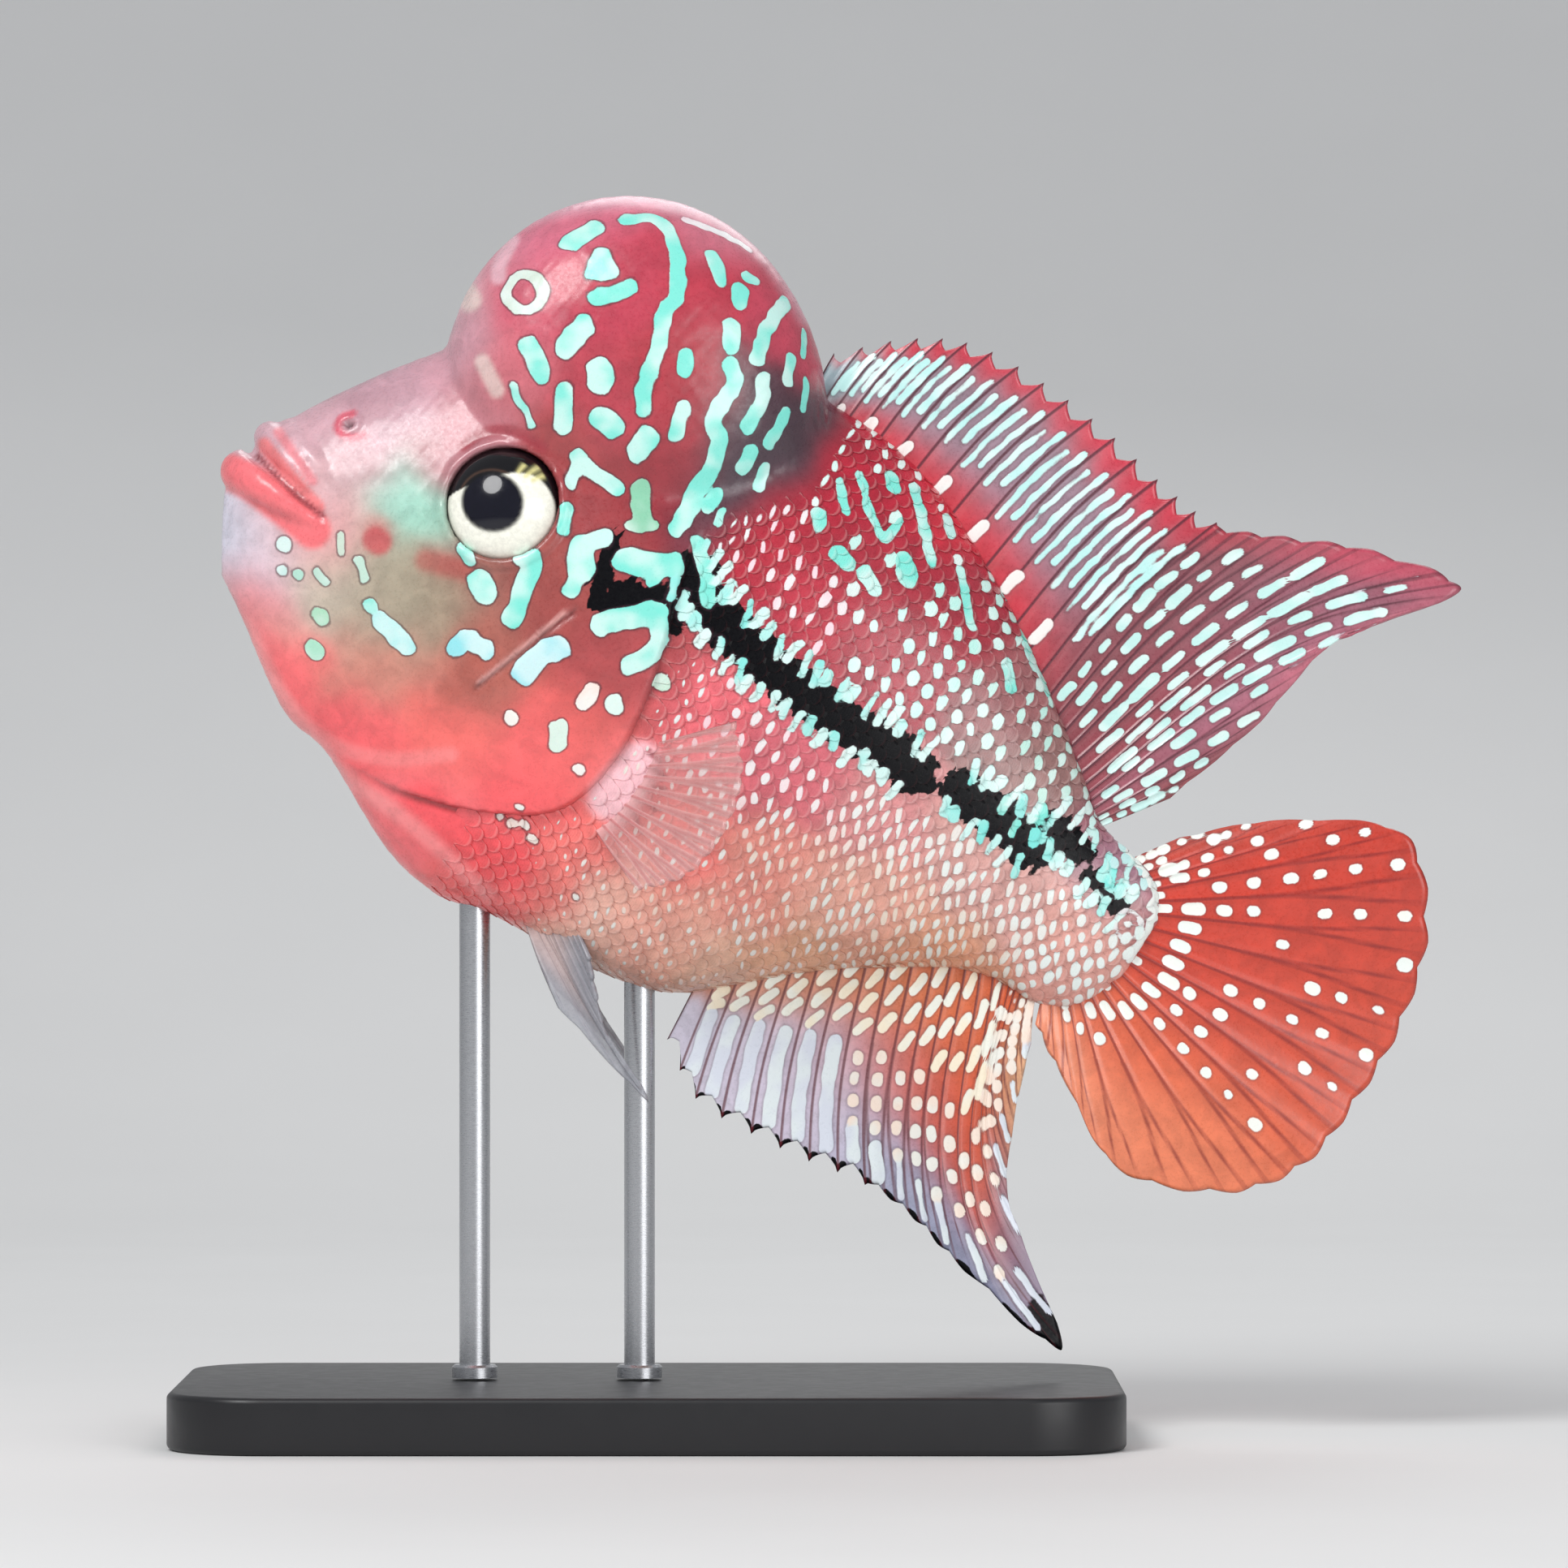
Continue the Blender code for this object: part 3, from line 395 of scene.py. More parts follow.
@dataclass(frozen=True)
class SkinFinish:
    """Wet skin whose tint, light marks and black areas come from vertex attributes."""

    name: str
    roughness: float = 0.30
    coat: float = 0.24
    subsurface: float = 0.06
    mottle: float = 0.13
    outline: float = 0.62
    grain_mm: float = 0.02
    scaled: bool = False
    rayed: bool = False
    clear: bool = False

    def ground(self, g: Graph, speck: Output, ink: Output) -> Output:
        """Mottled tint of the skin with its black areas, shades and rays."""
        uneven = g.math("ADD", g.times(g.noise(0.35, 4.0, 0.6, 0.6), 0.8), g.times(speck, 0.2))
        light = g.step(uneven, 0.3, 0.7, 1.0 - self.mottle, 1.0 + self.mottle)
        tint = g.mix(1.0, g.attribute("tint", colour=True), light, "MULTIPLY")
        base = g.mix(g.attribute("shade"), g.mix(ink, tint, opaque(9, 9, 13)), opaque(46, 22, 26))
        if self.rayed:
            on_ray = g.times(g.step(g.attribute("ray"), 0.30, 0.08), g.attribute("ray_part"))
            base = g.mix(on_ray, base, g.attribute("ray_tint", colour=True))
        return base

    def mark(self, g: Graph, speck: Output) -> tuple[Output, Output, Output]:
        """Light marks: the strokes and, on scales, one spot for each scale."""
        grain = g.math("SUBTRACT", speck, 0.5)
        edge = g.math("ADD", g.attribute("mark"), g.times(grain, 0.14))
        tint = g.attribute("mark_tint", colour=True)
        ring = g.times(g.step(edge, 0.34, 0.10), self.outline)
        if self.scaled:
            wide = g.attribute("spot_wide")
            x = g.math("DIVIDE", g.attribute("spot_x"), wide)
            y = g.math("DIVIDE", g.attribute("spot_y"), g.attribute("spot_long"))
            far = g.math("SQRT", g.math("ADD", g.times(x, x), g.times(y, y)))
            spot_edge = g.math("ADD", g.times(g.math("SUBTRACT", far, 1.0), wide), g.times(grain, 0.22))
            nearer = g.math("LESS_THAN", spot_edge, edge)
            tint = g.mix(nearer, tint, g.attribute("spot_tint", colour=True))
            spot_ring = g.times(g.step(spot_edge, 0.34, 0.10), g.step(wide, 0.45, 0.7, 0.0, 0.5))
            ring = g.math("MAXIMUM", ring, spot_ring)
            edge = g.math("MINIMUM", edge, spot_edge)
        return edge, g.times(ring, g.attribute("outlined")), tint

    def scale_rims_and_painted_glint(self, g: Graph, base: Output, ink: Output) -> Output:
        """Dark rim of each scale, with a painted highlight (a glint) inside it where the skin isn't black."""
        rim = g.attribute("rim")
        base = g.mix(g.times(g.step(rim, 0.30, 0.02), 0.22), base, opaque(70, 30, 34))
        # Painted highlight: a pale glint colour mixed into the base colour just inside each rim.
        glint = g.times(g.step(rim, 0.55, 0.25), g.step(rim, 0.05, 0.25))
        glint = g.times(glint, g.math("SUBTRACT", 1.0, ink))
        return g.mix(g.times(glint, 0.14), base, opaque(255, 226, 220))

    def build(self) -> bpy.types.Material:
        """Makes the material."""
        g = Graph(self.name)
        speck = g.noise(2.4, 3.0, 0.65)
        ragged = g.times(g.math("SUBTRACT", g.noise(0.55, 3.0, 0.6), 0.5), 1.6)
        ink = g.step(g.math("ADD", g.attribute("ink"), ragged), 0.12, -0.12)
        edge, ring, mark_tint = self.mark(g, speck)
        base = g.mix(ring, self.ground(g, speck, ink), opaque(58, 36, 46))
        spot = g.step(edge, 0.07, -0.07)
        pale = g.step(g.noise(0.16, 2.0), 0.40, 0.62, 0.0, 0.6)
        base = g.mix(spot, base, g.mix(pale, mark_tint, opaque(238, 250, 246)))
        if self.scaled:
            base = self.scale_rims_and_painted_glint(g, base, ink)
        g.shade("Base Color", base)
        g.shade("Roughness", g.step(speck, 0.25, 0.75, self.roughness - 0.08, self.roughness + 0.12))
        g.shade("Coat Weight", g.times(g.math("SUBTRACT", 1.0, g.times(ink, 0.9)), self.coat))
        g.shade("Specular IOR Level", g.step(ink, 0.0, 1.0, 0.5, 0.12))
        g.shade("Coat Roughness", 0.16)
        g.shade("Subsurface Weight", self.subsurface)
        g.shade("Subsurface Scale", 1.2 * MM)
        g.shade("Subsurface Radius", (1.0, 0.35, 0.25))
        raised = g.bump(spot, 0.05, 1.0, g.bump(speck, self.grain_mm, 0.6))
        if self.scaled:
            rings = g.math("FRACT", g.times(g.attribute("circuli"), 3.2))
            raised = g.bump(g.step(rings, 0.0, 1.0), 0.012, 1.0, raised)
        g.shade("Normal", raised)
        if self.clear:
            g.shade("Alpha", g.attribute("solid"))
        return g.material


@dataclass(frozen=True)
class SatinBoard:
    """Satin black painted board."""

    name: str = "satin black board"

    def build(self) -> bpy.types.Material:
        """Makes the material."""
        g = Graph(self.name)
        peel = g.noise(0.5, 2.0)
        dust = g.noise(3.0, 4.0, 0.7)
        dusty = g.step(dust, 0.55, 0.8, 0.0, 0.10)
        g.shade("Base Color", g.mix(dusty, opaque(24, 24, 27), opaque(44, 44, 48)))
        g.shade("Roughness", g.step(peel, 0.3, 0.7, 0.38, 0.42))
        g.shade("Normal", g.bump(peel, 0.008))
        return g.material


@dataclass(frozen=True)
class BrushedSteel:
    """Steel rod brushed round its length."""

    name: str = "brushed steel"

    def build(self) -> bpy.types.Material:
        """Makes the material."""
        g = Graph(self.name)
        brushed = g.node("ShaderNodeTexNoise")
        place = g.node("ShaderNodeTexCoord")
        stretch = g.node("ShaderNodeMapping")
        stretch.inputs["Scale"].default_value = (1.0, 1.0, 14.0)
        g.tree.links.new(place.outputs["Object"], stretch.inputs["Vector"])
        g.tree.links.new(stretch.outputs["Vector"], brushed.inputs["Vector"])
        brushed.inputs["Scale"].default_value = 1500.0
        streak = brushed.outputs["Fac"]
        g.shade("Base Color", g.mix(streak, opaque(178, 180, 184), opaque(200, 201, 204)))
        g.shade("Metallic", 1.0)
        g.shade("Roughness", g.step(streak, 0.3, 0.7, 0.22, 0.38))
        g.shade("Normal", g.bump(streak, 0.006))
        return g.material


@dataclass(frozen=True)
class EyeFinish:
    """Wet eye whose iris and pupil come from a vertex colour."""

    name: str = "wet eye"

    def build(self) -> bpy.types.Material:
        """Makes the material."""
        g = Graph(self.name)
        fibre = g.noise(1.6, 4.0, 0.7)
        shade = g.step(fibre, 0.3, 0.75, 0.86, 1.06)
        g.shade("Base Color", g.mix(1.0, g.attribute("tint", colour=True), shade, "MULTIPLY"))
        g.shade("Roughness", g.step(fibre, 0.2, 0.8, 0.10, 0.20))
        g.shade("Specular IOR Level", 0.2)
        g.shade("Coat Weight", 0.55)
        g.shade("Coat Roughness", 0.02)
        return g.material


@dataclass(frozen=True)
class BodyForm:
    """Head, hump and trunk as sections between the back and the belly.

    Each station is back (u, v), belly (u, v), half width, height of the widest point, and how pointed
    back and belly are in section.
    """

    stations: tuple = (
        ((0.9, -0.2), (5.7, -9.2), 3.0, 0.55, 0.80, 0.80),
        ((1.2, 3.9), (10.3, -12.4), 5.5, 0.60, 0.85, 0.85),
        ((3.0, 10.6), (20.7, -19.9), 8.0, 0.62, 0.90, 0.90),
        ((6.2, 16.1), (28.0, -21.8), 9.9, 0.62, 0.95, 0.90),
        ((10.7, 22.5), (40.0, -28.2), 12.0, 0.59, 0.95, 0.90),
        ((14.9, 27.7), (48.1, -30.0), 13.6, 0.56, 1.00, 0.90),
        ((19.2, 32.6), (54.7, -28.8), 14.8, 0.54, 1.05, 0.88),
        ((24.7, 37.1), (62.4, -28.5), 15.8, 0.53, 1.10, 0.86),
        ((31.8, 41.0), (71.4, -28.1), 16.4, 0.52, 1.20, 0.85),
        ((39.3, 43.9), (79.3, -26.1), 16.4, 0.51, 1.30, 0.88),
        ((47.9, 46.1), (85.6, -21.3), 15.7, 0.51, 1.35, 0.95),
        ((57.8, 46.6), (91.4, -16.4), 14.4, 0.51, 1.35, 1.00),
        ((67.6, 46.2), (96.8, -12.6), 12.8, 0.51, 1.30, 1.00),
        ((76.9, 43.8), (101.9, -9.4), 11.0, 0.50, 1.25, 1.00),
        ((86.6, 38.9), (106.2, -7.0), 9.3, 0.50, 1.15, 1.00),
        ((95.2, 33.6), (109.6, -5.4), 7.8, 0.49, 1.10, 1.00),
        ((103.1, 27.8), (112.6, -4.7), 6.5, 0.48, 1.05, 1.00),
        ((109.8, 22.4), (115.0, -4.6), 5.5, 0.48, 1.00, 1.00),
        ((114.7, 18.4), (117.4, -4.8), 4.7, 0.48, 1.00, 1.00),
        ((119.6, 17.1), (119.8, -4.4), 3.8, 0.48, 1.00, 1.00),
        ((124.0, 15.6), (123.6, -2.1), 2.3, 0.48, 1.00, 1.00),
        ((127.0, 12.2), (126.6, 3.4), 0.8, 0.50, 1.00, 1.00),
    )
    hump_centre: Pair = (37.2, 36.6)
    hump_radius: float = 22.7
    hump_half_width: float = 15.8
    hump_fullness: float = 2.4
    hump_overhang: float = 3.6
    hump_overhang_way: Pair = (0.93, -0.37)
    hump_blend_face: float = 5.0
    hump_blend_nape: float = 0.4
    hump_blend_from: float = 36.0
    hump_blend_to: float = 50.0
    hump_graze: float = 7.0
    flank_samples: int = 121

    def in_hump(self, u: Array, v: Array, w: Array) -> Array:
        """Whether points lie in the ball of the hump."""
        du = u - self.hump_centre[0]
        dv = v - self.hump_centre[1]
        far = np.hypot(du, dv)
        way = np.array(self.hump_overhang_way)
        way = way / np.linalg.norm(way)
        lean = np.maximum(0.0, (du * way[0] + dv * way[1]) / np.maximum(far, 1e-9))
        radius = self.hump_radius + self.hump_overhang * lean**2
        power = self.hump_fullness
        return (far / radius) ** power + (np.abs(w) / self.hump_half_width) ** power < 1

    def rings(self, places: Array, count: int) -> Array:
        """Rings of body points (u, v, w) at places counted in stations.

        Args:
            places: Places of the rings.
            count: Points of a ring, an even number.

        Returns:
            Array of (rings, count, 3), each ring from the belly up the right side and down the left.
        """
        rows = np.array([(*back, *belly, *rest) for back, belly, *rest in self.stations])
        at = smooth_through(rows, places)
        back = at[:, None, 0:2]
        belly = at[:, None, 2:4]
        wide, height, top, low = (at[:, None, k] for k in range(4, 8))
        middle = belly + (back - belly) * height[..., None]
        angle = np.linspace(-math.pi / 2, math.pi / 2, self.flank_samples)[None, :]
        rise = np.sin(angle)
        out = np.maximum(np.cos(angle), 0.0)
        up = rise > 0
        arm = np.where(up[..., None], back - middle, belly - middle) * np.abs(rise)[..., None]
        lateral = out ** np.where(up, top, low) * wide
        length = np.hypot(np.linalg.norm(arm, axis=-1), lateral)

        def stretched(by: float | Array) -> tuple[Array, Array, Array]:
            """Body coordinates of the flank's points at a multiple of their distance from the middle."""
            return middle[..., 0] + arm[..., 0] * by, middle[..., 1] + arm[..., 1] * by, lateral * by

        steps = np.linspace(0.0, 3.0, 41)[1:]
        held = np.stack([self.in_hump(*stretched(s)) for s in steps])
        any_held = held.any(axis=0)
        near = np.where(any_held, steps[len(steps) - 1 - held[::-1].argmax(axis=0)], 0.0)
        far = near + steps[0]
        for _ in range(12):
            half = (near + far) / 2
            inside = self.in_hump(*stretched(half))
            near = np.where(inside & any_held, half, near)
            far = np.where(inside, far, half)
        graze = eased(held.sum(axis=0) * steps[0] * length, 0.0, self.hump_graze)
        front = eased(middle[..., 0] + arm[..., 0] * 1.2, self.hump_blend_from, self.hump_blend_to)
        width = self.hump_blend_face + (self.hump_blend_nape - self.hump_blend_face) * front
        reach = near * length
        part = np.clip(0.5 + 0.5 * (length - reach) / width, 0.0, 1.0)
        larger = reach + (length - reach) * part + width * part * (1 - part) / 2
        grown = (length + (larger - length) * graze) / np.maximum(length, 1e-9)
        flank = np.stack(stretched(grown), axis=-1)
        half_count = count // 2
        made = np.empty((len(flank), count, 3))
        for ring, line in zip(made, flank):
            run = run_along(line)
            wanted = np.linspace(0.0, run[-1], half_count + 1)
            even = at_run(line, run, wanted)
            ring[: half_count + 1] = even
            ring[half_count + 1 :] = even[-2:0:-1] * (1, 1, -1)
        return made

    def sheet(self, name: str, rings: int, count: int) -> Piece:
        """Closed body through a number of rings, without lips and lids."""
        places = np.linspace(0, len(self.stations) - 1, rings)
        return link_mesh(name, tube(to_world(self.rings(places, count))))


@dataclass(frozen=True)
class Socket:
    """Frame on the skin: its middle and three axes, along, outwards and up."""

    middle: Array
    along: Array
    outwards: Array
    up: Array

    @staticmethod
    def on(tree: BVHTree, place: Pair, side: Side, sink: float, span: float = 3.0) -> "Socket":
        """Frame at a body place (u, v) of one side, sunk by a distance."""

        def width(u: float, v: float) -> float:
            far = to_world(np.array([u, v, 80.0]))
            return tree.ray_cast(Vector(far), Vector((0.0, -1.0, 0.0)))[0].y

        u, v = place
        slope_u = (width(u + span, v) - width(u - span, v)) / (2 * span)
        slope_v = (width(u, v + span) - width(u, v - span)) / (2 * span)
        normal = np.array([-slope_u, -slope_v, side.value])
        outwards = direction(*normal)
        outwards = outwards / np.linalg.norm(outwards)
        along = direction(1.0, 0.0, 0.0)
        along = along - outwards * (along @ outwards)
        along = along / np.linalg.norm(along)
        up = direction(0.0, 1.0, 0.0)
        up = up - outwards * (up @ outwards) - along * (up @ along)
        up = up / np.linalg.norm(up)
        middle = to_world(np.array([u, v, side.value * width(u, v)])) - outwards * sink
        return Socket(middle, along, outwards, up)

    def local(self, points: Array) -> tuple[Array, Array, Array]:
        """Distances of points along, outwards and up from the middle."""
        gap = points - self.middle
        return gap @ self.along, gap @ self.outwards, gap @ self.up

    def place(self, along: Array, outwards: Array, up: Array) -> Array:
        """World places of distances along, outwards and up."""
        return (
            self.middle
            + np.multiply.outer(along, self.along)
            + np.multiply.outer(outwards, self.outwards)
            + np.multiply.outer(up, self.up)
        )


@dataclass(frozen=True)
class Stroke:
    """One light mark of the skin: a chain of places (x, z) in the side view, and its half width."""

    chain: tuple
    half_width: float
    colour: Triple = (128, 230, 214)


@dataclass(frozen=True)
class Wash:
    """Soft stroke of colour under the marks: a chain of places (x, z), half width, soft edge and part."""

    chain: tuple
    half_width: float
    soft: float
    colour: Triple
    part: float = 1.0


@dataclass(frozen=True)
class Patch:
    """Colour of the skin round a place (x, z), and the spots that its scales carry.

    spot is (half width, half length, strength) of the light spot of one scale; under a strength of 0.8
    a scale may go without, and from 1.5 on only every second column carries spots.
    """

    place: Pair
    tint: Triple
    spot: Triple = (0.0, 0.0, 0.0)
    spot_tint: Triple = (200, 244, 236)
    reach: float = 4.5


AQUA = (146, 232, 224)
MINT = (190, 240, 228)
CREAM = (250, 226, 216)
ROSE_WHITE = (255, 214, 222)

PATCHES = (
    # Hump and nape.
    Patch((-24.0, 143.0), (222, 176, 184)),
    Patch((-19.5, 148.0), (214, 120, 142)),
    Patch((-10.0, 152.0), (210, 108, 130)),
    Patch((10.0, 149.0), (200, 110, 128)),
    Patch((-16.0, 138.0), (200, 84, 104)),
    Patch((-6.0, 142.0), (190, 62, 82)),
    Patch((8.0, 141.0), (184, 54, 72)),
    Patch((18.5, 137.0), (186, 66, 86)),
    Patch((-5.0, 128.0), (184, 66, 80)),
    Patch((4.0, 128.0), (176, 54, 66)),
    Patch((13.0, 126.0), (76, 52, 62)),
    Patch((10.0, 116.0), (72, 58, 68)),
    Patch((15.5, 121.0), (70, 54, 64)),
    Patch((2.0, 118.0), (154, 42, 54)),
    Patch((-16.0, 131.0), (206, 110, 120)),
    # Forehead, snout and round the eye.
    Patch((-25.0, 134.0), (206, 154, 166)),
    Patch((-34.0, 127.0), (196, 152, 164)),
    Patch((-22.0, 123.5), (186, 122, 130)),
    Patch((-9.0, 120.0), (162, 66, 68)),
    Patch((-5.0, 114.0), (158, 60, 64)),
    Patch((-43.0, 124.5), (212, 168, 178)),
    Patch((-36.0, 121.0), (192, 144, 150)),
    # Cheek, lips, chin and gill cover.
    Patch((-30.5, 114.5), (156, 206, 188)),
    Patch((-26.5, 111.5), (158, 206, 186), reach=3.0),
    Patch((-40.0, 117.0), (216, 180, 184)),
    Patch((-39.0, 112.0), (226, 160, 160)),
    Patch((-52.0, 108.0), (206, 208, 222)),
    Patch((-47.0, 107.5), (220, 192, 200)),
    Patch((-49.5, 101.0), (240, 128, 134)),
    Patch((-40.5, 104.0), (196, 184, 166)),
    Patch((-32.0, 104.5), (168, 158, 138)),
    Patch((-27.0, 103.0), (162, 148, 126)),
    Patch((-33.0, 95.0), (206, 134, 118)),
    Patch((-33.0, 110.0), (206, 92, 92), reach=1.6),
    Patch((-20.0, 106.0), (156, 96, 86)),
    Patch((-25.0, 107.5), (184, 92, 84), reach=2.4),
    Patch((-11.0, 104.0), (162, 74, 70)),
    Patch((-20.0, 94.0), (178, 98, 86)),
    Patch((-5.0, 95.0), (172, 72, 74)),
    Patch((0.5, 94.0), (176, 72, 76)),
    Patch((-8.0, 88.0), (222, 96, 92)),
    Patch((-14.0, 84.0), (246, 104, 104)),
    # Throat and breast.
    Patch((-45.0, 93.0), (250, 108, 112)),
    Patch((-36.0, 86.0), (250, 98, 104)),
    Patch((-26.0, 86.0), (242, 108, 102)),
    Patch((-27.0, 77.0), (252, 112, 118)),
    Patch((-17.0, 75.0), (250, 92, 98)),
    Patch((-19.0, 70.0), (252, 110, 110)),
    # Back and upper flank.
    Patch((15.0, 109.0), (178, 34, 54), (0.38, 1.0, 2.0), ROSE_WHITE),
    Patch((18.0, 103.0), (186, 48, 66), (0.45, 1.1, 2.0), ROSE_WHITE),
    Patch((27.0, 118.0), (176, 30, 52), (0.48, 1.2, 2.0), (222, 246, 238)),
    Patch((38.0, 117.0), (206, 44, 62), (0.55, 1.1, 2.0), (240, 238, 232)),
    Patch((30.0, 105.0), (168, 38, 56), (0.78, 1.2, 2.0), MINT),
    Patch((40.0, 102.0), (166, 44, 60), (0.70, 1.25, 2.0), MINT),
    Patch((56.0, 104.0), (172, 74, 84), (0.60, 1.6, 2.0), (204, 240, 230)),
    Patch((28.0, 96.0), (178, 58, 72), (0.62, 0.95, 2.0), (204, 240, 232)),
    Patch((48.0, 92.0), (158, 98, 100), (0.62, 1.3, 2.0), (196, 238, 226)),
    Patch((60.0, 92.0), (158, 84, 90), (0.55, 1.5, 2.0), (206, 240, 230)),
    Patch((50.0, 84.0), (154, 112, 108), (0.65, 1.1, 2.0), (190, 230, 216)),
    # Tail stem.
    Patch((62.0, 78.0), (156, 96, 106), (0.6, 1.1, 1.0), (208, 240, 234)),
    Patch((62.0, 68.0), (162, 118, 134), (0.7, 0.9, 1.0), (190, 232, 230)),
    Patch((56.0, 60.0), (224, 160, 148), (0.5, 0.8, 0.9), (238, 238, 232)),
    Patch((66.0, 62.0), (196, 100, 84), (0.55, 0.8, 0.9), (240, 240, 230)),
    # Lower flank and belly.
    Patch((6.0, 88.0), (240, 110, 120), (0.44, 0.8, 2.0), ROSE_WHITE),
    Patch((18.0, 82.0), (212, 100, 112), (0.46, 0.95, 2.0), (252, 226, 230)),
    Patch((28.0, 76.0), (216, 138, 138), (0.40, 1.1, 0.95), (244, 226, 218)),
    Patch((40.0, 70.0), (216, 160, 152), (0.42, 1.1, 0.95), (240, 232, 224)),
    Patch((-1.0, 82.0), (246, 118, 118), (0.2, 0.5, 0.35), CREAM),
    Patch((4.0, 74.0), (244, 122, 116), (0.25, 0.55, 0.5), CREAM),
    Patch((14.0, 70.0), (232, 144, 130), (0.30, 0.75, 0.7), (250, 218, 200)),
    Patch((26.0, 66.0), (234, 168, 150), (0.34, 0.95, 0.85), (246, 224, 206)),
    Patch((34.0, 60.0), (230, 162, 130), (0.34, 0.9, 0.8), (246, 222, 200)),
    Patch((-10.0, 70.0), (244, 118, 112), (0.2, 0.4, 0.25), CREAM),
    Patch((2.0, 64.0), (242, 166, 148), (0.24, 0.5, 0.4), (248, 214, 196)),
    Patch((-6.0, 62.0), (240, 190, 172), (0.2, 0.4, 0.2), CREAM),
    Patch((8.0, 57.0), (240, 190, 166), (0.22, 0.5, 0.3), CREAM),
    Patch((18.0, 58.0), (232, 174, 142), (0.3, 0.7, 0.5), CREAM),
)

WASHES = (
    # Lips and nostril.
    Wash(((-51.5, 118.8), (-48.5, 117.2), (-44.5, 114.2), (-41.0, 111.4)), 1.7, 1.1, (244, 112, 118), 0.95),
    Wash(((-47.2, 122.0), (-45.0, 119.4), (-42.4, 116.4), (-40.4, 114.2)), 0.5, 0.8, (236, 124, 126), 0.9),
    Wash(((-45.4, 123.6), (-43.4, 120.8), (-41.0, 117.4)), 0.25, 0.7, (232, 130, 138), 0.8),
    # Painted shade: a dark line along the crease of the mouth.
    Wash(((-48.0, 120.6), (-45.4, 118.0), (-42.4, 115.2), (-39.8, 113.2)), 0.12, 0.5, (142, 52, 60), 0.9),
    Wash(
        ((-36.2, 125.8), (-37.7, 125.2), (-38.0, 123.8), (-36.6, 122.8), (-34.8, 123.0)),
        0.2, 0.5, (226, 92, 112), 0.85,
    ),
    # Folds, blotches and streaks of the head.
    # Painted shade: a dark red line in the fold above the eye.
    Wash(((-22.4, 121.6), (-20.0, 123.2), (-16.4, 123.4), (-12.8, 121.4)), 0.3, 0.8, (156, 50, 62), 0.75),
    Wash(((-33.2, 110.2), (-32.8, 109.9)), 1.1, 1.0, (200, 84, 88), 0.85),
    Wash(((-16.8, 147.0), (-18.2, 144.0), (-18.3, 142.4)), 0.5, 0.9, (240, 196, 206), 0.7),
    Wash(((-22.4, 140.6), (-21.8, 139.6)), 0.9, 1.0, (232, 214, 204), 0.7),
    Wash(((-20.2, 131.9), (-18.4, 128.4)), 0.5, 0.9, (226, 208, 200), 0.7),
    # Painted highlight: a pale pink band along the top of the hump's crown.
    Wash(
        ((-15.0, 151.0), (-4.0, 152.6), (7.0, 151.2), (15.0, 146.0), (20.0, 138.5)),
        0.4, 2.6, (238, 186, 202), 0.6,
    ),
    Wash(((-27.0, 107.6), (-22.0, 106.4)), 0.6, 1.4, (176, 76, 72), 0.6),
    Wash(((-24.0, 91.6), (-20.0, 95.0)), 0.8, 2.0, (176, 88, 76), 0.5),
    Wash(((-20.4, 92.8), (-15.2, 96.9), (-10.0, 101.2)), 0.1, 0.4, (236, 176, 170), 0.7),
    # Breast and throat.
    Wash(((-27.5, 77.5), (-22.0, 72.5), (-17.0, 70.5)), 1.6, 3.0, (250, 62, 74), 0.55),
    Wash(((-47.0, 93.5), (-40.0, 86.0), (-32.0, 83.5), (-24.0, 84.0)), 0.3, 1.2, (255, 150, 150), 0.5),
    Wash(
        ((-49.5, 100.0), (-44.5, 90.0), (-38.0, 82.0), (-29.0, 75.5), (-20.0, 67.0)),
        0.2, 1.6, (255, 160, 160), 0.6,
    ),
    # Base of the pectoral fin, with its rays.
    Wash(((-0.8, 83.0), (-4.6, 78.6)), 1.7, 1.8, (252, 204, 212), 0.85),
    *(
        Wash(chain, 0.14, 0.4, (150, 40, 50), 0.8)
        for chain in (
            ((0.1, 84.5), (1.7, 82.8)),
            ((0.3, 82.3), (2.0, 81.4)),
            ((0.3, 80.0), (2.0, 79.8)),
            ((-0.2, 78.4), (1.2, 77.2)),
            ((-1.6, 76.7), (-1.1, 74.7)),
        )
    ),
    # Foot of the tail fin.
    Wash(((70.0, 70.0), (67.6, 62.0), (62.0, 54.5)), 1.0, 2.6, (206, 78, 52), 0.8),
)

FLANK_STROKES = (
    Stroke(((25.9, 118.2), (27.0, 113.8), (29.0, 110.4), (30.7, 112.6)), 0.60),
    Stroke(((32.6, 116.8), (33.5, 112.6), (34.6, 107.6)), 0.80),
    Stroke(((38.2, 106.7), (38.8, 103.1), (39.6, 99.7)), 0.65),
    Stroke(((53.4, 102.5), (53.7, 98.6), (53.9, 94.7)), 0.60),
    Stroke(((31.2, 107.4), (31.8, 105.6)), 1.35),
    Stroke(((26.4, 106.2), (27.6, 104.2)), 1.05),
    Stroke(((23.2, 108.4), (24.2, 107.4)), 1.15),
    Stroke(((29.7, 118.0), (29.9, 116.8)), 1.05),
    Stroke(((23.4, 117.4), (24.2, 113.8)), 0.60),
    Stroke(((20.7, 113.3), (20.9, 111.9)), 0.95),
    Stroke(((36.6, 113.0), (37.0, 111.2)), 0.90),
    Stroke(((43.9, 95.0), (44.3, 92.2)), 0.90),
    Stroke(((48.5, 98.6), (48.7, 95.8)), 0.85),
    Stroke(((50.9, 96.6), (51.3, 92.8)), 0.70),
)

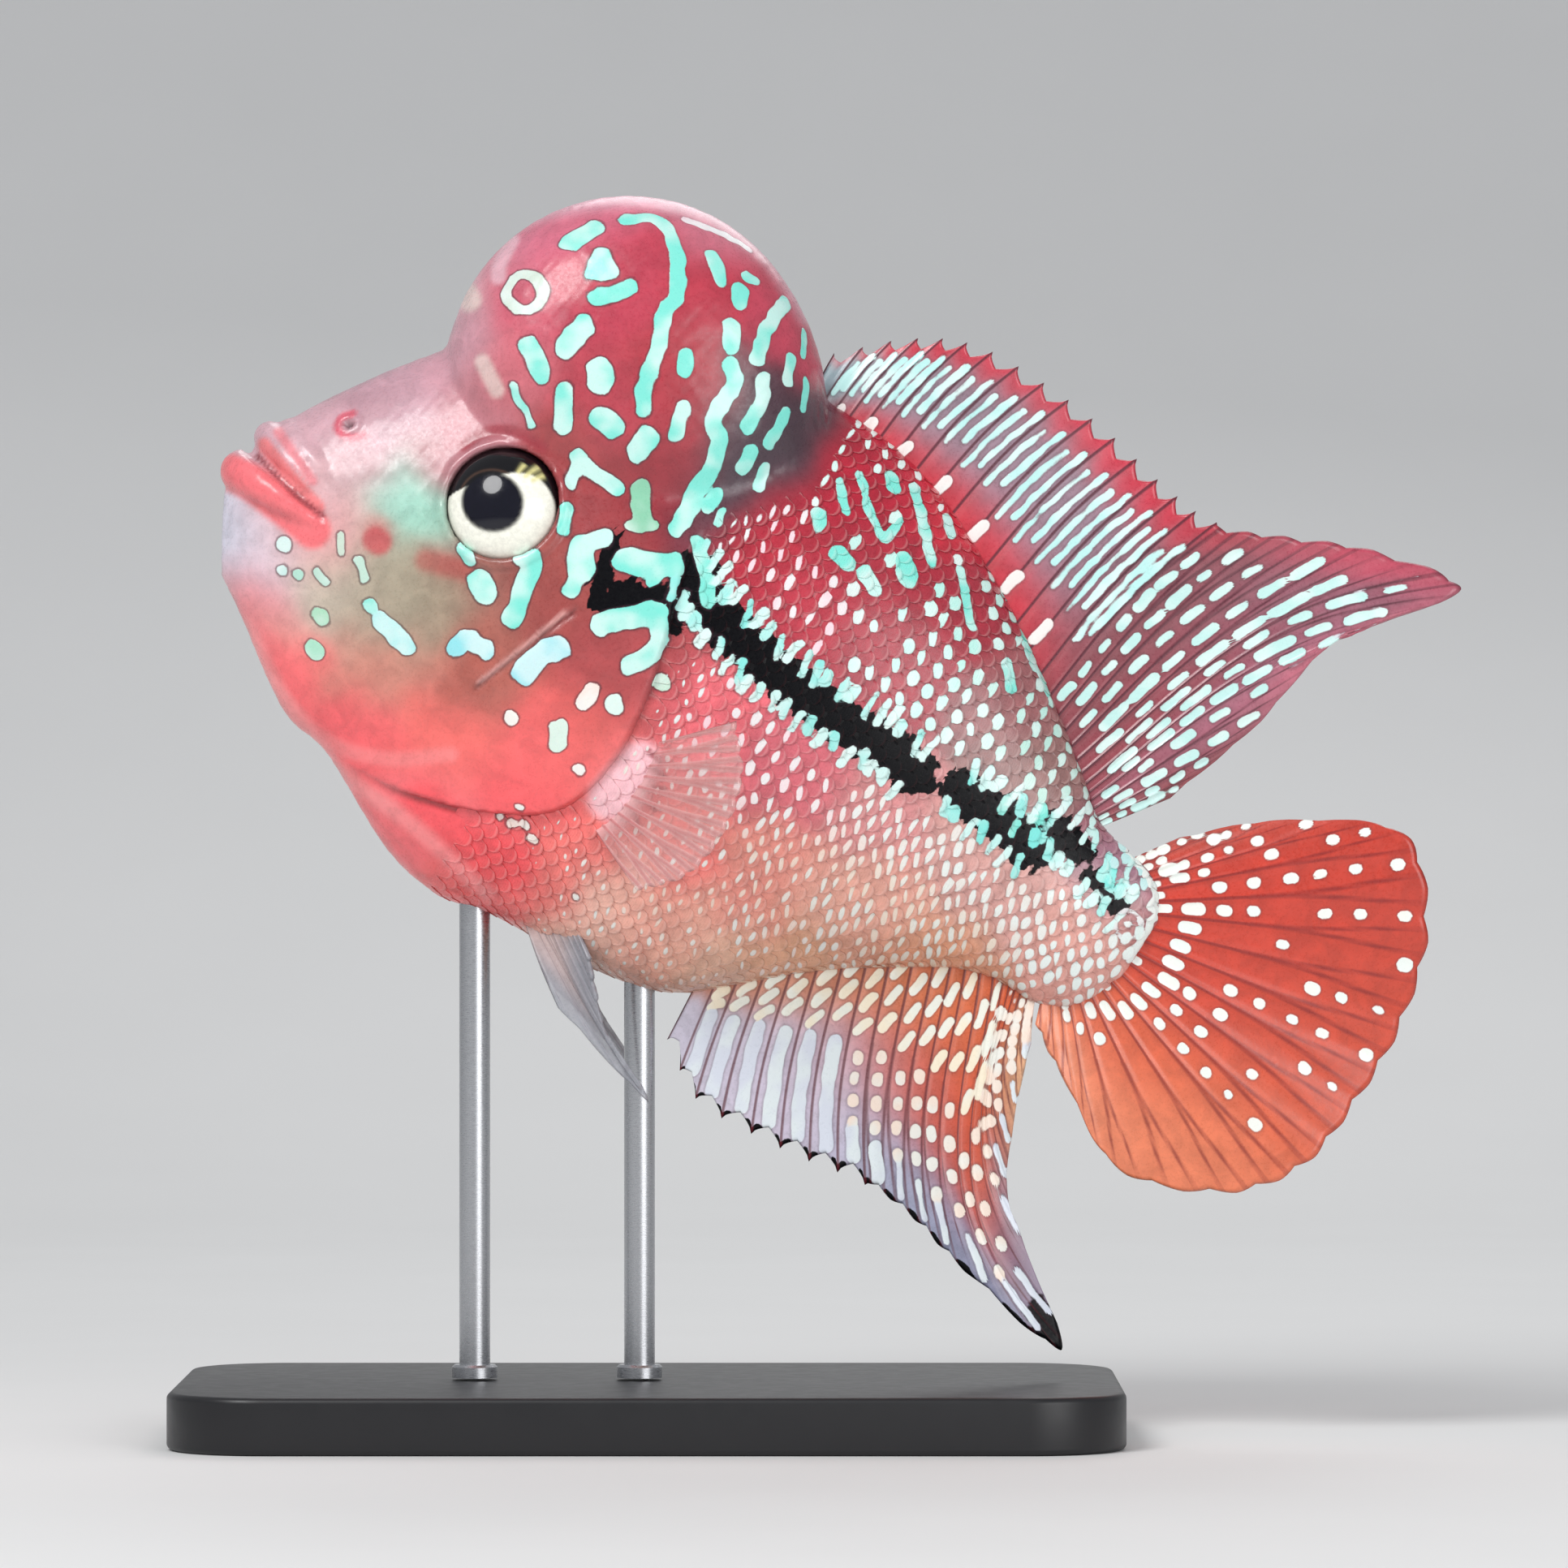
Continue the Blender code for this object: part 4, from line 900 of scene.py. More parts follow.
STROKES = (
    *FLANK_STROKES,
    # Rear blotch of the band, and bars and ring at the tail base.
    Stroke(((43.2, 77.2), (44.0, 78.6)), 0.60),
    Stroke(((44.4, 74.4), (45.0, 75.6)), 0.60),
    Stroke(((47.8, 76.0), (48.4, 77.4)), 0.70),
    Stroke(((58.7, 72.2), (61.8, 68.3), (62.9, 64.4), (61.8, 60.4), (59.3, 58.8)), 0.62, (236, 242, 236)),
    Stroke(((59.3, 70.8), (57.7, 66.9)), 0.50, (196, 238, 232)),
    Stroke(
        (
            (60.6, 63.1), (60.1, 64.3), (58.9, 64.8), (57.7, 64.3), (57.2, 63.1),
            (57.7, 61.9), (58.9, 61.4), (60.1, 61.9), (60.6, 63.1),
        ),
        0.32, (232, 226, 226),
    ),
    Stroke(((58.7, 63.1), (59.0, 63.1)), 0.50, (240, 236, 232)),
    # Front of the hump.
    Stroke(((-9.4, 146.6), (-6.8, 148.2)), 1.50),
    Stroke(((-5.6, 145.0), (-7.0, 142.6)), 0.90),
    Stroke(((-5.6, 145.0), (-4.3, 142.6)), 0.90),
    Stroke(((-6.7, 142.5), (-4.4, 142.5)), 0.90),
    Stroke(((-6.2, 139.6), (-3.8, 140.0), (-2.2, 140.9)), 1.10),
    Stroke(((-9.8, 133.6), (-7.8, 136.0)), 1.45),
    Stroke(((-14.5, 133.8), (-12.9, 130.2)), 1.20),
    Stroke(((-5.8, 130.8), (-5.6, 129.4)), 1.60),
    Stroke(
        (
            (-2.7, 149.4), (1.1, 149.4), (3.2, 146.4), (3.8, 142.5), (3.5, 139.8),
            (2.0, 137.4), (1.7, 135.0), (0.8, 131.5), (-0.4, 128.6), (-0.5, 125.7),
        ),
        0.95,
    ),
    Stroke(((-10.0, 128.3), (-10.3, 123.8)), 1.05),
    Stroke(((-5.6, 125.0), (-4.2, 123.8)), 1.40),
    Stroke(((-16.5, 128.9), (-14.0, 123.9)), 0.50),
    # Middle and rear of the hump.
    Stroke(((4.7, 132.6), (4.5, 130.7)), 1.00),
    Stroke(((0.1, 122.6), (-1.2, 120.6)), 1.30),
    Stroke(((4.3, 126.2), (3.4, 122.8)), 1.00),
    Stroke(((7.8, 144.8), (8.9, 142.0)), 1.00),
    Stroke(((12.1, 142.4), (13.0, 141.9)), 0.80),
    Stroke(((11.3, 140.4), (11.2, 139.3)), 1.20),
    Stroke(((10.2, 136.2), (10.2, 133.8)), 1.10),
    Stroke(((16.8, 139.4), (15.0, 136.8), (14.0, 134.5), (13.4, 132.2)), 1.00),
    Stroke(((19.1, 135.8), (18.9, 133.0)), 0.65),
    Stroke(((17.4, 132.4), (17.1, 129.8)), 0.90),
    Stroke(((19.3, 129.6), (19.0, 126.2)), 0.60),
    # Rear slope of the hump, and the crown.
    Stroke(
        (
            (10.2, 131.5), (10.5, 129.2), (9.3, 127.0), (8.2, 125.4), (8.0, 123.8),
            (8.7, 122.1), (7.9, 118.9), (6.2, 116.5), (5.0, 113.8), (3.6, 111.5),
        ),
        1.10,
    ),
    Stroke(((14.2, 129.5), (13.8, 127.0), (12.2, 124.0)), 1.05),
    Stroke(((16.8, 125.7), (14.8, 121.9)), 0.80),
    Stroke(((12.6, 121.0), (11.6, 118.8)), 0.90),
    Stroke(((14.2, 118.8), (13.6, 116.6)), 0.70),
    Stroke(((8.2, 115.6), (7.2, 114.0)), 0.90),
    Stroke(((9.2, 113.8), (8.6, 112.2)), 0.50),
    Stroke(((4.6, 149.4), (7.5, 148.4), (10.0, 147.3), (12.3, 145.9)), 0.70, (232, 206, 214)),
    # Behind the eye and over the band.
    Stroke(((-8.7, 120.1), (-6.5, 118.2), (-3.7, 116.4)), 1.00),
    Stroke(((-8.4, 119.5), (-9.4, 117.0)), 0.90),
    Stroke(((-0.7, 116.2), (-0.7, 112.0)), 1.20, (140, 206, 172)),
    Stroke(((-1.7, 111.8), (0.4, 111.8)), 0.90, (140, 206, 172)),
    Stroke(((-9.8, 114.0), (-10.2, 111.5)), 0.90),
    Stroke(((-5.2, 110.2), (-8.2, 109.4)), 1.20),
    Stroke(((-8.0, 109.2), (-8.0, 106.6)), 1.60),
    Stroke(((-7.6, 106.6), (-9.4, 103.8)), 0.90),
    Stroke(((-2.6, 107.6), (0.2, 107.0), (2.9, 107.0)), 1.65),
    Stroke(((0.6, 106.6), (0.8, 105.2)), 0.90),
    Stroke(((-5.5, 99.8), (-2.0, 100.6), (1.2, 101.2)), 1.40),
    Stroke(((1.2, 100.8), (1.8, 98.0), (0.0, 95.8), (-2.2, 94.8)), 1.20),
    Stroke(((6.0, 109.8), (6.8, 107.0), (7.5, 102.6)), 0.90),
    Stroke(((-14.0, 108.0), (-14.5, 105.5), (-16.4, 100.5)), 1.20),
    Stroke(((-15.6, 107.8), (-13.6, 107.8)), 0.80),
    # Gill cover.
    Stroke(((-15.0, 93.8), (-12.8, 96.2), (-10.8, 96.8)), 1.50, (140, 222, 232)),
    Stroke(((-6.7, 91.7), (-7.8, 90.2)), 0.90, CREAM),
    Stroke(((-4.0, 90.0), (-3.9, 89.8)), 1.20, (200, 236, 222)),
    Stroke(((-10.8, 87.2), (-10.8, 85.4)), 1.10, (220, 240, 228)),
    Stroke(((1.6, 92.8), (1.8, 92.6)), 1.00, (190, 226, 200)),
    Stroke(((-16.6, 88.5), (-16.4, 88.3)), 0.80, CREAM),
    Stroke(((-8.4, 82.1), (-8.2, 81.9)), 0.70, CREAM),
    # Cheek, chin and lips.
    Stroke(((-20.5, 105.0), (-19.7, 103.8)), 1.50),
    Stroke(((-22.2, 109.0), (-21.8, 107.8)), 1.10),
    Stroke(((-23.2, 97.0), (-21.8, 98.0), (-19.8, 96.8)), 1.20, (150, 226, 232)),
    Stroke(((-32.6, 100.4), (-29.4, 97.1)), 1.10, (160, 232, 230)),
    Stroke(((-34.0, 102.2), (-33.8, 102.0)), 1.00),
    Stroke(((-35.3, 107.8), (-34.5, 105.4)), 0.50, (196, 226, 210)),
    Stroke(((-37.6, 110.6), (-37.4, 108.8)), 0.50, (206, 222, 206)),
    Stroke(((-40.1, 100.9), (-39.9, 100.7)), 1.00, (160, 216, 180)),
    Stroke(((-40.9, 96.9), (-40.7, 96.7)), 1.10, (176, 230, 204)),
    Stroke(((-44.7, 109.8), (-44.5, 109.6)), 0.90, (190, 228, 222)),
    Stroke(((-44.8, 106.7), (-44.6, 106.5)), 0.60, (196, 228, 222)),
    Stroke(((-42.9, 106.0), (-42.7, 105.8)), 0.70, (180, 222, 206)),
    Stroke(((-40.5, 106.4), (-39.4, 105.2)), 0.50, (190, 222, 206)),
    # Dots of the breast.
    Stroke(((-18.2, 76.6), (-18.1, 76.5)), 0.45, CREAM),
    Stroke(((-16.6, 75.8), (-16.4, 75.6)), 0.60, CREAM),
    Stroke(((-15.2, 75.6), (-14.8, 75.2)), 0.55, CREAM),
    Stroke(((-14.4, 73.8), (-13.9, 73.4)), 0.55, CREAM),
    Stroke(((-15.9, 77.6), (-15.3, 77.5)), 0.40, CREAM),
    Stroke(((-8.9, 66.6), (-8.8, 66.4)), 0.45, CREAM),
)


@dataclass
class Markings:
    """Colours of the whole fish: soft patches, light marks, and the black band."""

    band: tuple = (
        (((-4.3, 110.2), (-5.2, 106.6), (-5.9, 103.0), (-3.8, 102.4)), 1.25),
        (
            (
                (-4.2, 102.8), (-1.8, 104.4), (0.4, 103.0), (2.6, 103.4), (3.2, 99.8),
                (4.3, 103.2), (4.9, 107.4),
            ),
            1.35,
        ),
        (((5.3, 106.2), (8.0, 101.5), (14.6, 94.6), (22.5, 89.0), (29.0, 85.0), (32.5, 82.0)), 2.9),
        (((38.5, 79.5), (43.5, 76.0), (47.0, 72.6)), 2.9),
        (((49.5, 75.0), (52.5, 72.5)), 2.4),
        (((55.0, 68.8), (57.5, 65.6)), 1.5),
    )
    ring_middle: Pair = (-15.0, 140.3)
    ring_radius: float = 2.25
    ring_half_width: float = 0.72

    def __post_init__(self) -> None:
        """Turns the patches into arrays."""
        self.places = np.array([p.place for p in PATCHES])
        self.reaches = np.array([p.reach for p in PATCHES])
        self.tints = np.array([srgb(*p.tint) for p in PATCHES])
        self.spots = np.array([p.spot for p in PATCHES])
        self.spot_tints = np.array([srgb(*p.spot_tint) for p in PATCHES])

    def shares(self, flat: Array) -> Array:
        """Share of each patch at side-view places (x, z)."""
        warp = np.stack([wander(flat, 19.0, 1.0), wander(flat, 17.0, 2.0)], axis=1) * 1.5
        gap = ((flat + warp)[:, None, :] - self.places[None]) / self.reaches[None, :, None]
        far = (gap**2).sum(axis=-1)
        weight = np.exp(-far / 1.1) + 1e-4 / (1.0 + far) ** 3
        return weight / weight.sum(axis=1, keepdims=True)

    def tint(self, flat: Array) -> Array:
        """Ground colour at side-view places."""
        colour = self.shares(flat) @ self.tints
        for wash in WASHES:
            chain = resampled(wash.chain, 6 * len(wash.chain))
            far = chain_distance(flat, chain)
            part = wash.part * (1 - eased(far, wash.half_width, wash.half_width + wash.soft))
            colour = colour + (np.array(srgb(*wash.colour)) - colour) * part[:, None]
        return colour

    def ink(self, flat: Array) -> Array:
        """Distance to the black band, negative inside."""
        jag = wander(flat, 2.2, 5.0) * 0.6
        far = [chain_distance(flat, np.array(chain)) - half for chain, half in self.band]
        return np.min(far, axis=0) + jag

    def pearls(self) -> list[tuple[Array, float, Array]]:
        """Row of upright pearls along both edges of the band."""
        rows = []
        upright = np.array([math.sin(PITCH), math.cos(PITCH)])
        for number, (chain, half) in enumerate(self.band[2:]):
            line = np.array(chain)
            run = run_along(line)
            for edge in (1.0, -1.0):
                count = int(run[-1] / 1.85) + 2
                for step in range(count):
                    chance = chance_of(step * 7.3 + number * 3.1 + edge, 91.7)
                    other = math.modf(chance * 17.3 + 0.31 * step)[0]
                    at = step * 1.85 + 0.5 * edge - 0.6 + 0.8 * (other - 0.5)
                    place = at_run(line, run, at)
                    place = place + np.array([1.0, -0.62]) / 1.18 * (at - np.clip(at, 0.0, run[-1]))
                    middle = place + upright * edge * (half * 0.92 + 0.9 * chance)
                    reach = (0.55 + 1.05 * other) * (1.0 if edge > 0 else 0.8)
                    lean = upright + np.array([0.5, -0.2]) * (chance - 0.5)
                    ends = np.array([middle - lean * reach, middle + lean * reach])
                    turquoise, ivory = np.array(srgb(128, 230, 220)), np.array(srgb(222, 248, 242))
                    pale = turquoise * (1 - chance) + ivory * chance
                    rows.append((ends, 0.46 + 0.30 * (1 - other), pale))
        return rows

    def strokes(self) -> list[tuple[Array, float, Array]]:
        """Finely divided chains of all strokes, with half widths and colours."""
        turn = np.linspace(0, 2 * math.pi, 17)
        ring = np.stack([np.cos(turn), np.sin(turn)], axis=1) * self.ring_radius + self.ring_middle
        rows = [(ring, self.ring_half_width, np.array(srgb(206, 222, 208)))]
        rows += self.pearls()
        for stroke in STROKES:
            chain = np.array(stroke.chain)
            if len(chain) > 2:
                chain = resampled(chain, 4 * len(chain) - 3)
            rows.append((chain, stroke.half_width, np.array(srgb(*stroke.colour))))
        return rows


@dataclass
class Painter:
    """Writes the markings into the vertices of a piece, on both sides of the fish."""

    tree: BVHTree
    markings: Markings

    def __post_init__(self) -> None:
        """Lays the strokes on the skin of both sides."""
        self.laid = {}
        for side in Side:
            shift = 0.0 if side is Side.LEFT else 1.0
            rows = []
            for number, (chain, half, colour) in enumerate(self.markings.strokes()):
                drift = shift * np.array([math.sin(number * 2.4), math.cos(number * 1.7)]) * 0.9
                rows.append((self.on_skin(chain + drift, side), half, colour))
            self.laid[side] = rows

    def on_skin(self, chain: Array, side: Side) -> Array:
        """Places on the skin of a side-view chain."""
        spots = []
        for x, z in chain:
            hit = self.tree.ray_cast(Vector((x, side.value * 60.0, z)), Vector((0.0, -side.value, 0.0)))[0]
            if hit is None:
                hit = self.tree.find_nearest(Vector((x, side.value * 3.0, z)))[0]
            spots.append(hit)
        return np.array(spots)

    def head_marks(self, points: Array) -> tuple[Array, Array]:
        """Distance to the nearest stroke of the head and its colour."""
        warp = np.stack([wander(points, 4.0, k + 11.0) for k in range(3)], axis=1) * 0.2
        moved = points + warp
        best = np.full(len(points), 9.0)
        colour = np.tile(np.array(srgb(*AQUA)), (len(points), 1))
        for side, rows in self.laid.items():
            on_side = np.flatnonzero(points[:, 1] * side.value > -2.0)
            for stroke in rows:
                lay_stroke(best, colour, moved, on_side, stroke, 2.0)
        return best, colour

    def paint(self, made: Piece) -> None:
        """Stores tint, marks and ink of each vertex."""
        points = points_of(made)
        flat = points[:, [0, 2]]
        tint = self.markings.tint(flat)
        ink = self.markings.ink(flat)
        mark, colour = self.head_marks(points)
        outlined = 1 - 0.65 * eased(flat[:, 0] - 0.25 * (110 - flat[:, 1]), 2.0, 12.0)
        write(made, tint=tint, ink=ink, mark=mark, outlined=outlined, mark_tint=colour)


@dataclass
class ScaleLattice:
    """Rows of scales over trunk and tail stem, as places on the skin with their light spots."""

    tree: BVHTree
    markings: Markings
    pitch: float = 2.35
    row: float = 1.42
    clear_of_strokes: float = 1.1
    first_u: float = 47.0
    last_u: float = 125.5
    middle_v: tuple = ((44.0, 14.0), (60.0, 13.0), (80.0, 14.5), (100.0, 11.0), (112.0, 7.5), (125.0, 6.2))
    gill_edge: tuple = (
        (55.2, 26.0), (55.2, 19.4), (57.4, 11.1), (58.9, 4.0), (59.3, -4.6), (56.6, -13.0),
        (49.0, -17.9), (38.6, -20.9), (31.4, -21.9), (28.6, -26.0),
    )

    behind_hump: tuple = ((63.6, 60.0), (63.2, 37.0), (58.4, 31.0))

    def __post_init__(self) -> None:
        """Places every scale by walking round the body at each column."""
        edge = resampled(self.gill_edge, 60)
        front = np.vstack([self.behind_hump, edge, AHEAD_OF_FISH])
        rows = []
        middle = np.array(self.middle_v)
        along_u = direction(1.0, 0.0, 0.0)
        columns = int((self.last_u - self.first_u) / (self.pitch / 2))
        for column in range(columns + 1):
            u = self.first_u + column * self.pitch / 2
            v = np.interp(u, middle[:, 0], middle[:, 1])
            core = Vector(to_world(np.array([u, v, 0.0])))
            for side in Side:
                line = []
                for angle in np.linspace(-90, 90, 73):
                    turn = math.radians(angle)
                    way = direction(0.0, math.sin(turn), side.value * math.cos(turn))
                    hit = self.tree.ray_cast(core, Vector(way))[0]
                    if hit is not None:
                        line.append(hit)
                line = np.array(line)
                if len(line) < 20:
                    continue
                run = run_along(line)
                zero = np.interp(0.0, np.linspace(-90, 90, len(line)), run)
                odd = (column % 2) * self.row
                low = math.ceil((run[0] - zero - odd) / (2 * self.row))
                high = math.floor((run[-1] - zero - odd) / (2 * self.row))
                for step in range(low, high + 1):
                    at = zero + odd + step * 2 * self.row
                    place = at_run(line, run, at)
                    rows.append((*place, side.value, u, at - zero, column, step))
        table = np.array(rows)
        body = to_body(table[:, :3])
        keep = ~within(body[:, :2], front)
        table = table[keep]
        self.places = table[:, :3]
        self.side = table[:, 3]
        self.girth = table[:, 5]
        self.u = table[:, 4]
        self.column = table[:, 6]
        key = table[:, 6] * 37.0 + table[:, 7] * 11.0 + table[:, 3] * 5.0
        waves = [np.sin(key * (12.9 + k)) * 43758.5 for k in range(4)]
        self.chance = np.stack([np.modf(np.abs(wave))[0] for wave in waves], axis=1)
        normals = np.array([self.tree.find_nearest(Vector(p))[1] for p in self.places])
        along = along_u[None, :] - normals * (normals @ along_u)[:, None]
        self.along = along / np.linalg.norm(along, axis=1, keepdims=True)
        self.normals = normals
        self.up = np.cross(self.along, normals)
        self.up *= np.sign(self.up[:, 2:3] + 1e-9)
        self.seat_spots()

    def seat_spots(self) -> None:
        """Sizes and colours of the light spot of every scale."""
        flat = self.places[:, [0, 2]]
        shares = self.markings.shares(flat)
        spot = shares @ self.markings.spots
        tints = shares @ self.markings.spot_tints
        band = self.markings.ink(flat)
        chance = self.chance
        half_width = spot[:, 0] * (0.72 + 0.56 * chance[:, 0])
        half_length = spot[:, 1] * (0.70 + 0.75 * chance[:, 1])
        strength = spot[:, 2]
        sparse = strength > 1.5
        gone = (band < 1.9) | (strength < 0.06) | (sparse & (self.column % 2 == 1))
        gone |= chance[:, 2] > np.where(sparse, 0.88, 0.35 + 0.65 * np.minimum(strength, 1.0))
        for stroke in FLANK_STROKES:
            gone |= chain_distance(flat, np.array(stroke.chain)) < stroke.half_width + self.clear_of_strokes
        self.half_width = np.where(gone, -1.0, half_width)
        self.half_length = np.maximum(half_length, self.half_width + 0.05)
        self.spot_colour = tints
        upright = direction(0.0, 1.0, 0.0)
        self.lean = ((chance[:, 3] - 0.5) * 0.45 - 0.12) * np.sign(self.up @ upright)
        self.shift = (chance[:, :2] - 0.5) * (0.5, 0.8)


@dataclass(frozen=True)
class Skin:
    """One skin over head, hump, jaw, gill covers, trunk and tail stem.

    Lips are half loops: front (u, v), height at the corner, radii at front and corner, half width. The
    slit of the cheek and the line of the mouth are chains in the side view.
    """

    form: BodyForm = field(default_factory=BodyForm)
    voxel: float = 0.45
    eye_centre: Pair = (31.9, 15.6)
    lid_radius: float = 7.5
    lid_tube: float = 0.75
    lid_sink: float = 0.45
    nostril_centre: Pair = (10.4, 14.6)
    mouth_corner_u: float = 12.4
    lips: tuple = (
        ((4.4, 10.2), 7.4, (1.9, 1.3), 8.0),
        ((2.5, 8.4), 5.4, (2.1, 1.2), 8.3),
        ((1.6, 3.1), 2.4, (2.8, 1.4), 8.5),
    )
    slit: tuple = ((-20.8, 92.2), (-15.5, 96.2), (-10.5, 100.2), (-8.8, 101.3))
    mouth: tuple = ((-49.5, 121.4), (-45.4, 118.0), (-42.4, 115.2), (-39.6, 113.0))
    cover_lift: float = 0.9
    cover_start: float = 26.0
    cover_full: float = 50.0
    gill_edge: tuple = (
        (54.0, 30.0), (54.4, 25.0), (55.2, 19.4), (57.4, 11.1), (58.9, 4.0), (59.3, -4.6), (56.6, -13.0),
        (49.0, -17.9), (38.6, -20.9), (31.4, -21.9), (28.6, -26.0), (26.0, -32.0),
    )

    def lip(self, front: tuple, corner_v: float, radii: tuple, half_width: float) -> bmesh.types.BMesh:
        """Fleshy lip from one corner of the mouth round the front to the other."""
        turn = np.linspace(-math.pi / 2, math.pi / 2, 61)
        near = np.cos(turn)
        depth = self.mouth_corner_u - front[0]
        u = self.mouth_corner_u - depth * near
        v = corner_v + (front[1] - corner_v) * near
        w = half_width * np.sin(turn)
        radius = radii[1] + (radii[0] - radii[1]) * near
        out = np.stack([-half_width * near, depth * np.sin(turn)], axis=1)
        out /= np.linalg.norm(out, axis=1, keepdims=True)
        sides = np.linspace(0, 2 * math.pi, 24, endpoint=False)
        reach = radius[:, None] * np.cos(sides)
        rise = radius[:, None] * np.sin(sides)
        rings = [u[:, None] + out[:, :1] * reach, v[:, None] + rise, w[:, None] + out[:, 1:] * reach]
        return tube(to_world(np.stack(rings, axis=-1)))

    def lid(self, socket: Socket) -> bmesh.types.BMesh:
        """Ring of skin round an eye."""
        turn = np.linspace(0, 2 * math.pi, 97)
        sides = np.linspace(0, 2 * math.pi, 20, endpoint=False)
        radius = self.lid_radius + self.lid_tube * np.cos(sides)[None, :]
        rise = np.tile(self.lid_tube * np.sin(sides), (97, 1))
        places = socket.place(radius * np.cos(turn)[:, None], rise, radius * np.sin(turn)[:, None])
        bm = grid(21, 97, np.concatenate([places, places[:, :1]], axis=1))
        bmesh.ops.remove_doubles(bm, verts=bm.verts, dist=1e-4)
        bmesh.ops.recalc_face_normals(bm, faces=bm.faces)
        return bm

    def remeshed(self, sockets: dict) -> Piece:
        """Body, lips and lids melted into one even surface."""
        body = self.form.sheet("skin", 260, 220)
        extras = [self.lip(*sizes) for sizes in self.lips]
        extras += [self.lid(socket) for socket in sockets.values()]
        bm = bmesh.new()
        bm.from_mesh(body.data)
        for extra in extras:
            bmesh.ops.scale(extra, vec=(MM,) * 3, verts=extra.verts)
            piece = bpy.data.meshes.new("melted")
            extra.to_mesh(piece)
            extra.free()
            bm.from_mesh(piece)
            bpy.data.meshes.remove(piece)
        bm.to_mesh(body.data)
        bm.free()
        modifier = body.modifiers.new("melt", "REMESH")
        modifier.mode = "VOXEL"
        modifier.voxel_size = self.voxel * MM
        graph = bpy.context.evaluated_depsgraph_get()
        body.data = bpy.data.meshes.new_from_object(body.evaluated_get(graph))
        body.modifiers.clear()
        body.data.shade_smooth()
        return body

    def smoothed(self, made: Piece, rounds: int) -> None:
        """Evens out the steps that the remesh leaves."""
        ends = np.empty(len(made.data.edges) * 2, np.int32)
        made.data.edges.foreach_get("vertices", ends)
        a, b = ends.reshape(-1, 2).T
        points = points_of(made)
        count = np.bincount(a, minlength=len(points)) + np.bincount(b, minlength=len(points))
        for number in range(rounds):
            total = np.zeros_like(points)
            np.add.at(total, a, points[b])
            np.add.at(total, b, points[a])
            factor = 0.6 if number % 2 == 0 else -0.58
            points = points + factor * (total / count[:, None] - points)
        move_points(made, points)

    def build(self) -> tuple[Piece, dict, BVHTree]:
        """Makes the skin.

        Returns:
            The skin, the frames of the eyes by side, and a search tree of the plain body.
        """
        plain = self.form.sheet("plain", 160, 120)
        tree = tree_of(plain)
        bpy.data.objects.remove(plain)
        seats = {side: Socket.on(tree, self.eye_centre, side, 0.0, 5.0) for side in Side}
        lids = {side: Socket.on(tree, self.eye_centre, side, self.lid_sink, 5.0) for side in Side}
        made = self.remeshed(lids)
        self.smoothed(made, 8)
        points = points_of(made)
        normals = normals_of(made)
        body = to_body(points)
        flat = body[:, :2]
        shift = np.zeros(len(points))
        shade = np.zeros(len(points))
        edge = resampled(self.gill_edge, 100)
        from_edge = chain_distance(flat, edge)
        ahead = within(flat, np.vstack([edge, AHEAD_OF_FISH, [(54.0, 70.0)]]))
        signed = np.where(ahead, from_edge, -from_edge)
        open_part = 1 - eased(flat[:, 1], 18.0, 26.0)
        out = np.abs(normals[:, 1])
        lift = self.cover_lift * eased(flat[:, 0], self.cover_start, self.cover_full) * out
        shift += lift * eased(signed, -0.25, 0.25) * open_part
        behind = np.exp(-(((signed + 0.45) / 0.5) ** 2)) * open_part * eased(flat[:, 0], 30.0, 44.0)
        shift -= 0.35 * behind
        shade = np.maximum(shade, 0.55 * behind)
        from_slit = chain_distance(flat, side_view(*self.slit))
        shift -= 0.35 * np.exp(-((from_slit / 0.42) ** 2))
        shade = np.maximum(shade, 0.6 * np.exp(-((from_slit / 0.28) ** 2)))
        for side in Side:
            here = points[:, 1] * side.value > 0
            along, outwards, up = seats[side].local(points)
            reach = np.hypot(along, up)
            close = here & (np.abs(outwards) < 8.0)
            shift -= np.where(close, 3.2 * (1 - eased(reach, 5.9, 7.1)), 0.0)
            shade = np.where(close, np.maximum(shade, 0.8 * (1 - eased(reach, 6.4, 7.6))), shade)
            nostril = Socket.on(tree, self.nostril_centre, side, 0.0)
            along, outwards, up = nostril.local(points)
            reach = np.hypot(along, up * 1.15)
            close = here & (np.abs(outwards) < 3.0)
            shift -= np.where(close, 0.9 * (1 - eased(reach, 0.2, 0.8)), 0.0)
            shift += np.where(close, 0.3 * np.exp(-(((reach - 1.25) / 0.4) ** 2)), 0.0)
            shade = np.where(close, np.maximum(shade, 0.5 * (1 - eased(reach, 0.3, 0.8))), shade)
        from_mouth = chain_distance(flat, side_view(*self.mouth))
        shift -= 0.5 * np.exp(-((from_mouth / 0.5) ** 2))
        grain = wander(points, 2.6, 7.0) * 0.03
        points = points + normals * (shift + grain)[:, None]
        move_points(made, points)
        write(made, shade=shade)
        return made, seats, tree


